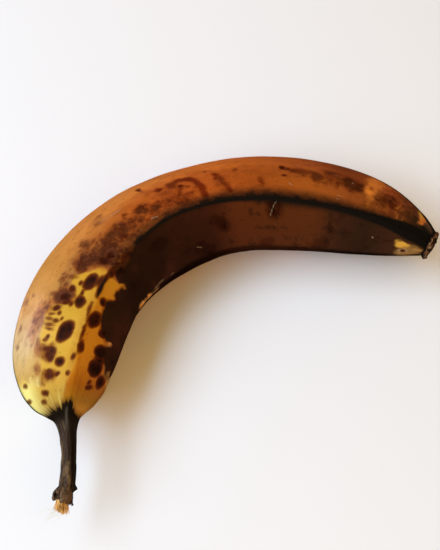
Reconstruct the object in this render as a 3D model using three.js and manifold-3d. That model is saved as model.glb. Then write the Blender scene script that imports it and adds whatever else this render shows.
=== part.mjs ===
// A ripe plantain lying on its side. Five ridges run along it from the broken stalk to the
// dried flower end, and its faces between them are gently flattened. The fruit grew as one
// piece, so it is one closed solid. Millimetres, +Z up: the bend lies level, and a soft flat
// on the underside rests on Z = 0.

import * as THREE from "three";
import { mergeVertices } from "three/addons/utils/BufferGeometryUtils.js";
import Module from "manifold-3d";

const { degToRad, seededRandom } = THREE.MathUtils;
const wasm = await Module();
wasm.setup();

// Spine: level arcs laid end to end, from the broken end of the stalk to the flower end.
// A positive turn bends the fruit towards its hollow side.
const SPINE_START = { x: -67.39, y: -75.39, heading: 83.6 };
const SPINE_HEIGHT = 21.5;
const BENDS = [
  { run: 34.7, turn: -19 },
  { run: 38, turn: 24 },
  { run: 38, turn: 31.5 },
  { run: 38, turn: 25 },
  { run: 38, turn: 23.5 },
  { run: 38, turn: 14 },
  { run: 38, turn: 21.5 },
];

// Ridge radius at each distance along the spine, which a smooth curve joins.
const COLLAR_PROFILE = [
  [2.4, 1.6],
  [1.0, 3.4],
  [1.3, 4.5],
  [3.2, 5.0],
  [5.6, 4.8],
];
const PEEL_PROFILE = [
  [7.6, 3.9],
  [11, 3.4],
  [20, 3.3],
  [29, 3.6],
  [33.5, 5.6],
  [36.2, 9.0],
  [40, 13.9],
  [47, 18.4],
  [60, 22.4],
  [76, 23.8],
  [98, 24.2],
  [130, 24.9],
  [162, 23.6],
  [194, 23],
  [217, 21.2],
  [233, 18.5],
  [244, 14.9],
  [252, 11.4],
  [258.4, 7.9],
  [261.6, 5.9],
];
const FLOWER_PROFILE = [
  [262.6, 5.6],
  [263.6, 6.6],
  [265.4, 6.9],
  [266, 6.1],
  [264.6, 4.6],
  [264.4, 2.6],
  [265.8, 1.7],
];
const PEEL_STATIONS = 74;

// Ridges, as angles round the spine from straight up towards the hollow side, and how far
// the whole set is twisted at each distance along it.
const RIDGE_ANGLES = [-150, -80, 22, 78, 150];
const FACE_STEPS = [5, 7, 4, 5, 4];
const FACE_FLATNESS = 0.5;
const TWIST = [
  [34.7, -4],
  [80, 5],
  [137, -3],
  [194, 3],
  [262, 9],
];

// Torn fibres that stand out of the broken stalk, and the stub of pith that they surround.
const PITH = { radius: 2.7, length: 4.6, root: 2.6 };
const STRANDS = { count: 13, radius: 0.62, shortest: 4.2, longest: 8.2, root: 2.2, sides: 5 };
const STRAND_RING = 2.3;
const STRAND_SPLAY = 38;
const STRAND_SEED = 7;

const SKIN = new THREE.MeshStandardMaterial({ color: 0x9a5522, roughness: 0.42, metalness: 0 });

/** Place and heading of the spine at a distance along it. */
function spineAt(along) {
  let { x, y } = SPINE_START;
  let heading = degToRad(SPINE_START.heading);
  let left = along;
  for (const [index, { run, turn }] of BENDS.entries()) {
    const last = index === BENDS.length - 1;
    const step = last ? left : Math.min(left, run);
    const radius = run / degToRad(turn);
    const swept = step / radius;
    x += radius * (Math.sin(heading) - Math.sin(heading - swept));
    y += radius * (Math.cos(heading - swept) - Math.cos(heading));
    heading -= swept;
    left -= step;
    if (left <= 0) break;
  }
  return { x, y, heading };
}

/** Straight-line reading of a list of [place, value] pairs, held level past both ends. */
function readAt(pairs, place) {
  const after = pairs.findIndex(([at]) => at >= place);
  if (after === 0) return pairs[0][1];
  if (after < 0) return pairs.at(-1)[1];
  const [fromPlace, fromValue] = pairs[after - 1];
  const [toPlace, toValue] = pairs[after];
  return fromValue + ((toValue - fromValue) * (place - fromPlace)) / (toPlace - fromPlace);
}

/** The angles of one ring: each face between two ridges in equal steps. */
function ringAngles() {
  return RIDGE_ANGLES.flatMap((from, face) => {
    const to = RIDGE_ANGLES[face + 1] ?? RIDGE_ANGLES[0] + 360;
    const steps = FACE_STEPS[face];
    return Array.from({ length: steps }, (_, step) => {
      const angle = from + ((to - from) * step) / steps;
      return { angle, middle: (from + to) / 2, half: (to - from) / 2 };
    });
  });
}

/** Share of the ridge radius that the skin reaches between two ridges. */
function faceReach({ angle, middle, half }) {
  const flat = Math.cos(degToRad(half)) / Math.cos(degToRad(angle - middle));
  return 1 - FACE_FLATNESS * (1 - flat);
}

/** Lumps of the torn collar and the shrivelled flower end, as a share of the radius. */
function raggedness(along, angle) {
  const turn = degToRad(angle);
  const collar = Math.max(0, 1 - Math.abs(along - 3.2) / 4.5);
  const flower = Math.max(0, Math.min(1, (along - 262) / 2));
  const lumps = 0.13 * Math.sin(2 * turn + 2.4) + 0.1 * Math.sin(5 * turn + 0.6);
  const lobes = 0.11 * Math.sin(5 * turn + 1.1) + 0.05 * Math.sin(11 * turn);
  return 1 + collar * lumps + flower * lobes;
}

/** The skin's point at one station of the profile and one place on the ring. */
function skinPoint([along, radius], place) {
  const { x, y, heading } = spineAt(along);
  const angle = degToRad(place.angle + readAt(TWIST, along));
  const reach = radius * faceReach(place) * raggedness(along, place.angle);
  const inward = reach * Math.sin(angle);
  return [
    x + inward * Math.sin(heading),
    y - inward * Math.cos(heading),
    SPINE_HEIGHT + reach * Math.cos(angle),
  ];
}

/** Closed skin of the fruit, ring by ring, with a fan of triangles over each end. */
function skinGeometry() {
  const peel = new THREE.SplineCurve(PEEL_PROFILE.map(([s, r]) => new THREE.Vector2(s, r)));
  const stations = [
    ...COLLAR_PROFILE,
    ...peel.getSpacedPoints(PEEL_STATIONS).map(({ x, y }) => [x, y]),
    ...FLOWER_PROFILE,
  ];
  const ring = ringAngles();
  const points = stations.flatMap((station) => ring.map((place) => skinPoint(station, place)));
  const triangles = [];
  for (let row = 0; row < stations.length - 1; row++) {
    for (let j = 0; j < ring.length; j++) {
      const here = row * ring.length + j;
      const beside = row * ring.length + ((j + 1) % ring.length);
      triangles.push(here, beside, beside + ring.length);
      triangles.push(here, beside + ring.length, here + ring.length);
    }
  }
  const lastRow = (stations.length - 1) * ring.length;
  const endCentres = [stations[0][0], stations.at(-1)[0]].map((along) => {
    const { x, y } = spineAt(along);
    return points.push([x, y, SPINE_HEIGHT]) - 1;
  });
  for (let j = 0; j < ring.length; j++) {
    const next = (j + 1) % ring.length;
    triangles.push(endCentres[0], next, j);
    triangles.push(endCentres[1], lastRow + j, lastRow + next);
  }
  const geometry = new THREE.BufferGeometry();
  geometry.setAttribute("position", new THREE.Float32BufferAttribute(points.flat(), 3));
  geometry.setIndex(triangles);
  return geometry;
}

/** A tapering stem of fibre from the broken end, sunk by its root and leaning outwards. */
function strandGeometry({ radius, length, root, sides, lean, round, offset }) {
  const { x, y, heading } = spineAt(COLLAR_PROFILE[0][0]);
  const outward = new THREE.Vector3(-Math.cos(heading), -Math.sin(heading), 0);
  const across = new THREE.Vector3(Math.sin(heading), -Math.cos(heading), 0);
  const side = across
    .multiplyScalar(Math.sin(round))
    .add(new THREE.Vector3(0, 0, Math.cos(round)));
  const direction = outward
    .clone()
    .multiplyScalar(Math.cos(lean))
    .addScaledVector(side, Math.sin(lean));
  const tipRadius = radius * 0.5;
  const stem = new THREE.CylinderGeometry(tipRadius, radius, length + root, sides);
  stem.translate(0, (length + root) / 2 - root, 0);
  stem.applyQuaternion(
    new THREE.Quaternion().setFromUnitVectors(new THREE.Vector3(0, 1, 0), direction),
  );
  stem.translate(x + side.x * offset, y + side.y * offset, SPINE_HEIGHT + side.z * offset);
  return stem;
}

/** The torn end's stems: the stub of pith, then the strands in a ring with seeded leans. */
function tornEndGeometries() {
  seededRandom(STRAND_SEED);
  const pith = strandGeometry({ ...PITH, sides: 7, lean: 0, round: 0, offset: 0 });
  const strands = Array.from({ length: STRANDS.count }, (_, index) => {
    const round = (2 * Math.PI * (index + 0.5 * seededRandom())) / STRANDS.count;
    const lean = degToRad(STRAND_SPLAY * seededRandom());
    const length = THREE.MathUtils.lerp(STRANDS.shortest, STRANDS.longest, seededRandom());
    const offset = STRAND_RING * (0.5 + 0.5 * seededRandom());
    return strandGeometry({ ...STRANDS, length, lean, round, offset });
  });
  return [pith, ...strands];
}

/** A three.js geometry as a solid whose shared corners are merged. */
function solidOf(geometry) {
  const bare = geometry.clone();
  bare.deleteAttribute("normal");
  bare.deleteAttribute("uv");
  const merged = mergeVertices(bare, 1e-4);
  return new wasm.Manifold(
    new wasm.Mesh({
      numProp: 3,
      vertProperties: merged.attributes.position.array,
      triVerts: new Uint32Array(merged.index.array),
    }),
  );
}

/** Everything below the surface that the fruit rests on. */
function belowSurface() {
  const block = new THREE.BoxGeometry(400, 400, 40);
  block.translate(0, 0, -20);
  return solidOf(block);
}

/** The whole fruit: skin and torn strands fused, with the soft flat pressed underneath. */
function plantainGeometry() {
  let fruit = solidOf(skinGeometry());
  for (const stem of tornEndGeometries()) {
    fruit = fruit.add(solidOf(stem));
  }
  const { vertProperties, triVerts } = fruit.subtract(belowSurface()).getMesh();
  const geometry = new THREE.BufferGeometry();
  geometry.setAttribute("position", new THREE.BufferAttribute(vertProperties, 3));
  geometry.setIndex(new THREE.BufferAttribute(triVerts, 1));
  geometry.computeVertexNormals();
  return geometry;
}

const plantain = new THREE.Mesh(plantainGeometry(), SKIN);
plantain.name = "plantain";

const part = new THREE.Group();
part.add(plantain);

export default part;
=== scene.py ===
"""A ripe plantain lying on its side, with a broken stalk and a dried flower end.

The fruit grew as one piece, so one skin covers it from the torn collar of the stalk to the
flower end. The skin repeats the form of the solid that it covers and adds finer relief and
every mark of ripening. Lengths are in millimetres and angles in degrees, until a point is
placed in metres.
"""

import logging
import math
import random
from collections.abc import Mapping, Sequence
from dataclasses import dataclass
from enum import Enum
from functools import cache

import bmesh
import bpy
import numpy as np
from mathutils import Matrix, Vector, noise


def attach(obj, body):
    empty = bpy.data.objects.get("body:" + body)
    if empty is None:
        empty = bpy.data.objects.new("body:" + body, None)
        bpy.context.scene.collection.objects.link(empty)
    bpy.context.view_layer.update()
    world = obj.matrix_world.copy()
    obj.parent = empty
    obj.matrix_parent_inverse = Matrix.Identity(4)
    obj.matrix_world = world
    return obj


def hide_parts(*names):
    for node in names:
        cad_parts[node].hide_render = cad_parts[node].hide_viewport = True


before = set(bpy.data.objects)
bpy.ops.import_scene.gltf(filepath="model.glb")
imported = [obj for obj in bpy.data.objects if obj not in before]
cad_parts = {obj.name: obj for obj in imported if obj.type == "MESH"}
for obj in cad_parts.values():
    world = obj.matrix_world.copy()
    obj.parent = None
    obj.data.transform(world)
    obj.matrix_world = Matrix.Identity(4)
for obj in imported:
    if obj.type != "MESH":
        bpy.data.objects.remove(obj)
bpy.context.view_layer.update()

MM = 0.001
ROOT = "root"
SOLID = "plantain"

# Steps of a smooth curve between two points of its profile.
CURVE_STEPS = 40
# Vertices closer than this are merged where a sheet closes on itself.
CLOSED_UNDER = 0.004 * MM

Values = np.ndarray
Span = tuple[float, float]
Pairs = tuple[Span, ...]
BMesh = bmesh.types.BMesh
Piece = bpy.types.Object
Socket = bpy.types.NodeSocket

log = logging.getLogger("plantain")


class Slot(Enum):
    """Names of the fruit's material slots."""

    PEEL = "peel"
    STALK = "stalk"
    FIBRE = "torn_fibre"
    REMNANT = "flower_remnant"


# ---------- Form of the fruit ----------


def eased(values: Values | float, low: Values | float, high: Values | float) -> Values:
    """Rises smoothly from 0 at low to 1 at high.

    Args:
        values: Where to read the curve.
        low: The value up to which the result is 0.
        high: The value from which the result is 1. It may be lower than low.

    Returns:
        The eased values, from 0 to 1.
    """
    share = np.clip((values - low) / (high - low), 0.0, 1.0)
    return share * share * (3.0 - 2.0 * share)


def read_at(pairs: Pairs, places: Values | float) -> Values:
    """Straight-line reading of (place, value) pairs, held level past both ends."""
    where, value = zip(*pairs)
    return np.interp(places, where, value)


def faded(values: Values, *spans: Span) -> Values:
    """Fades in over some spans of values, and out over those that run backwards."""
    return np.prod([eased(values, *span) for span in spans], axis=0)


def wrapped(angle: Values) -> Values:
    """The same directions, as angles from -180 to 180 degrees."""
    return (angle + 180.0) % 360.0 - 180.0


@dataclass(frozen=True)
class Bend:
    """One level arc of the spine: its length, and how far it turns to the hollow side."""

    run: float
    turn: float

    def follow(self, corner: Sequence[float], onward: Values | float) -> Values:
        """Follows the arc.

        Args:
            corner: The x, y and heading at its start.
            onward: Distances along it.

        Returns:
            One row each for x, y and heading.
        """
        x, y, heading = corner
        radius = self.run / math.radians(self.turn)
        turned = heading - onward / radius
        across = radius * (math.sin(heading) - np.sin(turned))
        return np.array([x + across, y + radius * (np.cos(turned) - math.cos(heading)), turned])


@dataclass(frozen=True)
class Spine:
    """Level arcs laid end to end, from the broken end of the stalk to the flower end."""

    x: float = -67.39
    y: float = -75.39
    heading: float = 83.6
    height: float = 21.5
    bends: tuple[Bend, ...] = (
        Bend(34.7, -19.0),
        *(Bend(38.0, turn) for turn in (24.0, 31.5, 25.0, 23.5, 14.0, 21.5)),
    )

    def at(self, along: Values) -> Values:
        """Follows the spine.

        Args:
            along: Distances along the spine.

        Returns:
            One row each for the places' x, their y, and the headings in radians.
        """
        corner = (self.x, self.y, math.radians(self.heading))
        places = self.bends[0].follow(corner, along)
        start = 0.0
        for bend in self.bends:
            places = np.where(along >= start, bend.follow(corner, along - start), places)
            corner = bend.follow(corner, bend.run)
            start += bend.run
        return places


@dataclass(frozen=True)
class Ridges:
    """The five ridges, as angles from straight up towards the hollow side of the bend."""

    angles: tuple[float, ...] = (-150.0, -80.0, 22.0, 78.0, 150.0)
    steps: tuple[int, ...] = (40, 60, 34, 40, 34)
    flatness: float = 0.5
    rounding: float = 3.2
    averaged: int = 7
    twist: Pairs = ((34.7, -4), (80, 5), (137, -3), (194, 3), (262, 9))

    @property
    def top(self) -> float:
        """The angle of the top ridge, the one nearest straight up."""
        return min(self.angles, key=abs)

    def faces(self) -> list[Span]:
        """The two ridges of each face, the second one always the larger angle."""
        return list(zip(self.angles, (*self.angles[1:], self.angles[0] + 360.0)))

    def columns(self) -> Values:
        """Angles of the skin's columns, with the seam's angle first and again last.

        Returns:
            The angles, in rising order.
        """
        runs = [
            np.linspace(low, high, steps, endpoint=False)
            for (low, high), steps in zip(self.faces(), self.steps)
        ]
        return np.append(np.concatenate(runs), self.angles[0] + 360.0)

    def sharp_reach(self, around: Values) -> Values:
        """Share of the ridge radius that the flattened faces reach, with sharp ridges.

        Args:
            around: Angles round the fruit.

        Returns:
            One share for each angle, 1 on a ridge.
        """
        turned = (around - self.angles[0]) % 360.0 + self.angles[0]
        reach = np.ones_like(turned)
        for low, high in self.faces():
            half = math.radians((high - low) / 2.0)
            off = np.radians(turned - (low + high) / 2.0)
            flat = 1.0 - self.flatness * (1.0 - math.cos(half) / np.cos(off))
            reach = np.where((turned >= low) & (turned < high), flat, reach)
        return reach

    def reach(self, around: Values) -> Values:
        """The flattened faces' reach, with the ridges rounded by averaging across them."""
        shifts = np.linspace(-self.rounding, self.rounding, self.averaged)
        return np.mean([self.sharp_reach(around + shift) for shift in shifts], axis=0)


@cache
def smooth_stations(points: Pairs, count: int) -> Pairs:
    """Evenly spaced stations on the smooth curve through a profile's points.

    Args:
        points: The profile's (along, radius) points.
        count: How many steps to cut the curve into.

    Returns:
        count + 1 pairs of along and radius.
    """
    known = np.array([points[0], *points, points[-1]])
    share = np.linspace(0.0, 1.0, CURVE_STEPS + 1)[:, None]
    runs = []
    for before, here, after, beyond in zip(known, known[1:], known[2:], known[3:]):
        leaving, arriving = (after - before) / 2.0, (beyond - here) / 2.0
        cubic = 2.0 * (here - after) + leaving + arriving
        square = 3.0 * (after - here) - 2.0 * leaving - arriving
        runs.append(((cubic * share + square) * share + leaving) * share + here)
    curve = np.concatenate(runs)
    steps = np.hypot(*np.diff(curve, axis=0).T)
    travelled = np.concatenate(([0.0], np.cumsum(steps)))
    wanted = np.linspace(0.0, travelled[-1], count + 1)
    return tuple(tuple(np.interp(at, travelled, axis) for axis in curve.T) for at in wanted)


@dataclass(frozen=True)
class Form:
    """The whole fruit's form: the spine, its ridges, and the radius along it."""

    spine: Spine = Spine()
    ridges: Ridges = Ridges()
    collar: Pairs = (
        (4.4, 0.3), (3.6, 1.7), (2, 2.6), (1.6, 3.2), (2.4, 3.5), (3.9, 3.2), (5.3, 3.6),
        (6.5, 3.5),
    )
    body: Pairs = (
        (7.2, 3.2), (11, 3.25), (15, 3.15), (20, 3), (25, 3.4), (29, 3.8), (33.5, 5.5), (36.2, 8.5),
        (40, 13.6), (47, 18.4), (60, 22.4), (76, 23.8), (98, 24.2), (130, 24.9), (162, 23.6),
        (194, 23), (217, 21.2), (233, 18.5), (244, 14.9), (252, 11.4), (256.4, 9), (258.3, 7.8),
        (260, 6.7),
    )
    blossom_end: Pairs = ((260.8, 5.6), (261.3, 4.4), (261.6, 2.6), (261.7, 0.2))
    lean: Pairs = (
        (5.2, 1.1), (7.4, 0.1), (11, 0.2), (20, 0.2), (29, 0.25), (31.5, 0), (34, -0.3), (40, -0.3),
        (50, 0),
    )
    pressed: float = 0.35
    end_rows: int = 15
    readings: int = 300

    def stations(self, rows: int) -> Pairs:
        """The skin's stations from the collar to the flower end, most of them on the body.

        Args:
            rows: How many steps its three stretches have in all.

        Returns:
            The distance along the fruit and the radius of each.
        """
        return (
            smooth_stations(self.collar, self.end_rows)
            + smooth_stations(self.body, rows - 2 * self.end_rows)
            + smooth_stations(self.blossom_end, self.end_rows)
        )

    def radius_at(self, along: Values | float) -> Values:
        """The ridge radius at distances along the body."""
        return read_at(smooth_stations(self.body, self.readings), along)

    def per_degree(self, along: Values | float) -> Values:
        """The distance round the body that one degree takes up, at distances along it."""
        return np.radians(self.radius_at(along))

    def lean_at(self, along: Values | float) -> Values:
        """How far the stalk stands off the spine, towards the outer side."""
        return read_at(self.lean, along)

    def place(self, along: Values, reach: Values, around: Values) -> Values:
        """Puts skin coordinates in space.

        Args:
            along: Distances along the spine.
            reach: Distances out from the spine.
            around: Angles round the spine, before the ridges' twist.

        Returns:
            Points in metres, one row each, none of them below the surface.
        """
        x, y, heading = self.spine.at(along)
        turned = np.radians(around + read_at(self.ridges.twist, along))
        inward = reach * np.sin(turned)
        height = self.spine.height + reach * np.cos(turned)
        settled = 0.5 * (height + np.hypot(height, self.pressed))
        points = (x + inward * np.sin(heading), y - inward * np.cos(heading), settled)
        return np.stack(points, axis=-1) * MM


FORM = Form()


# ---------- Marks of ripening, with painted light and shade, placed on the skin ---


@dataclass(frozen=True)
class Spot:
    """An oval mark: its place, its half length and half width, its turn and its strength."""

    along: float
    around: float
    long: float
    wide: float
    turn: float = 0.0
    strength: float = 1.0


def ovals(*rows: tuple[float, ...]) -> tuple[Spot, ...]:
    """Spots from rows of their values, in the order of the spot's fields."""
    return tuple(Spot(*row) for row in rows)


@dataclass(frozen=True)
class Stroke:
    """A drawn line on the skin through (along, around) points, and its half width."""

    points: Pairs
    half_width: float


# Skin that is still yellow: a ring behind the stalk, and a tongue of it along the top ridge.
YELLOW_SKIN: Pairs = (
    (20, -260), (44.5, -260), (46.5, -180), (44, -150), (49, -125), (46, -100), (49.5, -80),
    (48.5, -62), (46.4, -46), (45.6, -33), (46.5, -27), (51.5, -24), (58.5, -26), (60.8, -29),
    (66.5, -28), (72.8, -29), (75.5, -22), (75.8, -6), (80, -1.5), (84, -4), (86, -9), (89.6, -12),
    (91, -5), (92.8, 3), (94.8, 8), (96.8, 12), (97.2, 18), (97, 24), (95.2, 29), (95, 37),
    (97, 48.5), (93.5, 43), (88, 40), (83, 38), (74, 38), (66.5, 43), (64.6, 58), (61, 46),
    (57, 56), (52, 62), (47.5, 72), (44.5, 84), (47, 100), (43.5, 122), (46.5, 150), (44, 172),
    (45, 260), (20, 260),
)

# Near-black to reddish brown skin, on the hollow side of the top ridge.
DARK_SIDE: Pairs = (
    (61.2, 47), (62.6, 53), (64, 59), (65.2, 51), (66.5, 43), (70, 38), (74, 36), (82.5, 33),
    (85, 39.5), (86.8, 43), (89, 39.5), (93.5, 42), (97, 49), (95.4, 36), (96.5, 29), (99, 24.5),
    (103, 24), (110, 23.5), (118, 22), (135, 21.5), (150, 20.5), (162, 19), (270, 19), (270, 128),
    (225, 118), (180, 122), (140, 132), (100, 126), (72, 112), (56, 96), (47.5, 76), (51, 66),
    (56, 58), (60, 54),
)

# Crisp dark spots, the largest on the yellow skin.
DARK_SPOTS = ovals(
    (99.8, 10.6, 1.2, 2), (103.6, 13.2, 1.2, 1.4), (64.8, 3.8, 5, 3.5, 18), (52.6, 4, 1.7, 2.1),
    (48.3, 1, 0.7, 0.9), (48, -11, 1, 1.8), (54.6, -9, 1.2, 1.6), (57, -8, 1.5, 2.2),
    (57.8, -15.5, 0.7, 2.4), (55.8, -13, 1.1, 1.6), (49.8, -10.5, 0.7, 1.2), (79.2, -12, 1.1, 1.9),
    (74, -15, 0.9, 1.7), (58.5, 24, 2.4, 1.2), (72.2, 29, 4, 2.8, 10), (82.2, 30, 2, 1.6),
    (78.6, 7.5, 2.8, 2.3, -15), (82.6, 7, 1.5, 0.8), (88.6, 9.5, 4.1, 2.7, 10),
    (90.4, 18.4, 2.8, 1.1, 8), (87.4, 21, 4.2, 0.9), (93, 22.4, 4.4, 0.9, 6), (65, 22, 3.4, 0.35),
    (75.2, 19.6, 3.2, 0.4, -8), (96.8, 24, 2.2, 1.3), (51, 50, 3.9, 3.8), (59, 50.5, 3.2, 3.8, 20),
    (55.2, 52.5, 1.6, 2.8), (67.6, 45, 2.2, 2.6), (83.2, -7, 1.1, 1.3), (77, -6, 1, 1.6),
    (46, 66, 2.9, 2.3, -20), (42.8, 50.5, 0.8, 1.4), (44.8, 47.5, 0.6, 0.8), (48, 16, 0.8, 0.6),
    (54.3, 19.5, 1, 0.7), (61.4, -20, 0.45, 0.9), (62.6, -17.5, 0.8, 0.9),
    (65.8, -18, 0.35, 1.3, 12), (67.6, -19.5, 0.35, 1.7, 10), (68.8, -11.5, 0.6, 1.4, 8),
    (69.6, -21, 0.35, 1.5, 8), (71.4, -19.5, 0.4, 1.1), (71.9, -10, 0.7, 0.9),
    (69.8, -4.5, 0.5, 0.4), (76.5, -1, 1.1, 0.8), (86.5, 0, 1, 0.8), (40, -37, 0.5, 1.2),
    (42.6, -25, 0.8, 1.7), (46.8, -63, 0.5, 1.1), (42, -72, 0.5, 1.1), (190.8, -32, 1.2, 1.9),
    (193.2, -30, 0.5, 1), (191.3, -14.5, 0.8, 0.6), (133.2, -45, 0.55, 2.2), (147.4, -13, 0.9, 1.1),
    (234.4, 50, 0.8, 1), (243, 50, 1.2, 0.9), (252.5, 66.5, 1.1, 1),
)

# Softer purple brown bruises.
BRUISES = ovals(
    (48.2, -12, 2.2, 4.2), (56.4, -12.5, 3.2, 5.2), (58.8, -22, 1.2, 4), (59.4, -10, 1.2, 2.6),
    (61, -31, 1.8, 1.2), (46.4, -26, 0.9, 1.4), (51.6, -35, 0.7, 1.7), (60.8, -69, 0.8, 1.5),
    (66.5, -70, 1.4, 1.1), (76.5, -72, 0.9, 1.9), (78.8, -63.5, 0.5, 0.8), (67, -31.5, 2, 0.9),
    (74, -15.5, 1.8, 2.6), (76.4, -10.5, 1.5, 2), (88.6, -10.5, 1.6, 1.4), (79.2, -13, 3.6, 5.2),
    (79.8, -27, 1.6, 3), (82.6, -6, 1.9, 1.6), (84.6, -17, 1.4, 2.2), (88.2, -16, 1.2, 1.4),
    (93.6, -24.5, 0.8, 0.9), (94.8, -18.5, 1.4, 1.5), (93.6, -8, 2.4, 3.4), (97.6, -13, 1.9, 2.2),
    (97.4, -2, 2.6, 3), (102.6, -27, 1.7, 4), (99.6, 14, 1.8, 3.6), (100, 24, 2.2, 2.4),
    (104.6, 14, 3, 2.2), (102.4, 4, 3, 2.8), (106.4, -4, 2.2, 2), (107, 9, 3.2, 2.4),
    (110.8, -2, 2.6, 2.6), (116.6, 3, 1.8, 2.2), (116.8, -6, 1.3, 1.2), (120.4, 9, 1.4, 1.3),
    (121.8, -12, 1.4, 1.4), (126.8, -7, 2.5, 2.6, 25), (125, 9, 2.2, 1.6), (133, 4, 2, 2.2, 30),
    (138.2, -22, 1.6, 1.8), (143.6, -20, 1.9, 2.6), (147.4, 9, 1.1, 1.6), (162.8, -15, 1.5, 2),
    (166.4, 4, 1.5, 2.6), (160, -34, 0.6, 1.8), (171.4, -27, 0.9, 1.9), (181.2, -3, 0.9, 2.2),
    (198, -28, 4.6, 2.8), (229.2, -31, 1, 1.6), (205, -21, 1.8, 4), (210.2, -37, 2.2, 2.4),
    (214.4, -18, 1.3, 4), (219.4, -25, 3.2, 5.2), (223.8, -20, 2.4, 3.6), (235.4, -22, 1.7, 3.4),
    (239, -14, 1.4, 2.6), (145, 66, 4.2, 3.2), (156.5, 42, 2.8, 2.4), (186, 32, 3.4, 4.6),
    (125, 40, 6, 3), (160, 48, 4.6, 3.4, 10), (150, 72, 5, 3), (184, 74, 4, 3), (212, 71, 4.6, 3.4),
    (215.4, 50, 1.9, 1.7), (218.8, 30, 1.6, 0.9),
)
BRUISE_STROKES = (
    Stroke(((56, 22), (61, 22.6), (66, 22), (72, 21.2)), 0.3),
    Stroke(((145, -24), (148, -28), (152, -25), (154, -15), (155.2, -3), (155.6, 10)), 1.8),
    Stroke(((162.4, -22), (164, -16), (165.4, -6), (166.6, 3), (167.2, 10)), 1.4),
)

# Wide soft clouds of bruising, most of them in a band above the top ridge.
CLOUDS = ovals(
    (68, -40, 11, 6.5, 0, 0.5), (79.5, -15, 5.6, 8, 0, 0.8), (58, -31, 5, 4, 0, 0.5),
    (74, -29, 4.5, 4.5, 0, 0.6), (51, -31, 3, 3.2, 0, 0.45), (96.5, -9, 6.5, 8.5, 0, 0.95),
    (102.6, -27, 3, 6, 0, 0.6), (104, 6, 11.5, 11.5, 0, 1), (105, 21, 11, 8, 0, 1),
    (114, 2, 9, 9, 0, 0.9), (122, 5, 8, 8, 0, 0.75), (104, 14, 8, 4, 0, 1),
    (119, 13, 9, 3.4, 0, 0.9), (210, -14, 5, 3.5, 0, 0.5), (127.5, -4, 5, 5.5, 0, 0.95),
    (126, 3.5, 3.4, 3.4, 0, 0.9), (132.5, 4, 5, 5.5, 0, 0.9), (138, 5, 8, 7, 0, 0.55),
    (147, 8, 9, 5.5, 0, 0.45), (144, -19, 4.5, 5.5, 0, 0.5), (141, -7, 4, 6.5, 0, 0.45),
    (164.5, -5, 5, 8, 0, 0.4), (113.8, -42, 4.5, 8, 0, 0.55), (199, -26, 8, 7, 0, 0.35),
    (206, -22, 4, 6.5, 0, 0.75), (211, -36, 7.5, 7, 0, 0.55), (215, -31, 4, 5, 0, 0.6),
    (220.8, -25, 7.5, 8.5, 0, 0.95), (236, -22, 7, 9, 0, 0.3), (187.5, 32, 5.2, 7, 0, 0.9),
    (159.5, 47.5, 4.4, 6, 0, 0.8),
)

# Clusters of small bruises: each oval is filled with seeded dots.
CLUSTERS = ovals(
    (69, -40, 9, 4), (85, -20, 6, 4), (100, -14, 9, 6), (106, 4, 10, 5.5), (118, 0, 9, 6),
    (130, 2, 7, 5.5), (146, 2, 9, 6), (200, -28, 9, 3.5), (214, -26, 9, 5), (238, -22, 6.5, 6),
)

# Pale healed scratches, and painted highlights where marked below.
PALE_MARKS = (
    Stroke(((107.6, 78.4), (110.8, 76.4), (114.6, 75.2), (117.4, 75.4)), 0.3),
    Stroke(((121.8, 77), (124.8, 76.2)), 0.16),
    Stroke(((187.9, 25), (186.9, 29), (186.2, 34), (185.4, 41)), 0.22),
    Stroke(((143.4, 64.5), (146.2, 67.5)), 0.22),
    # Painted highlights on the upper flank.
    Stroke(((112.6, -35), (116, -31)), 0.34),
    Stroke(((117.4, -29.5), (121.6, -26.5)), 0.42),
    Stroke(((193.6, -2), (194.8, 2)), 0.22),
    Stroke(((215.2, 5), (217.8, 4)), 0.22),
    Stroke(((215, 10), (217.5, 9)), 0.22),
    Stroke(((220.7, -29), (221.2, -26)), 0.22),
    # A painted highlight along the top ridge.
    Stroke(((128.8, 13.5), (131.4, 15)), 0.3),
    Stroke(((236, 49), (236.4, 50.5)), 0.4),
    # Painted highlights forming a ring round the spot near the flower end.
    Stroke(((250.4, 68), (250.8, 63), (252.6, 61), (254.4, 64)), 0.35),
    Stroke(((254.6, 68), (253.6, 72), (251.6, 72), (250.4, 68)), 0.35),
)

# Peel that stayed light, and the wider orange glow and tan stain round it.
LIGHT_PATCHES = ovals(
    (96.8, 79, 3.8, 2.2, -6), (103.8, 80.5, 3.4, 1.8, -6), (110.6, 81.5, 2.6, 1.2),
    (251.9, -67, 1.2, 3.6, -11), (250.5, 50, 3.6, 1.9, 0), (63.8, 58, 0.6, 0.9),
)
GLOWS = ovals(
    (229.4, -42, 3.9, 17, 4, 1), (232, -66, 4, 6, 0, 0.8), (253.2, -46, 2, 7, -11, 1),
    (106, 26.5, 5, 4, 0, 0.2),
)
STAINS = ovals((255.5, 71, 8, 6, 0, 1), (255.5, 56, 5, 2.6, 0, 0.9), (50, 76, 3, 1.6, 0, 0.9))


@dataclass(frozen=True)
class CrestLine:
    """The dark line on one ridge: its angle and its half width along the spine."""

    around: Pairs
    half_widths: Pairs


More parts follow.
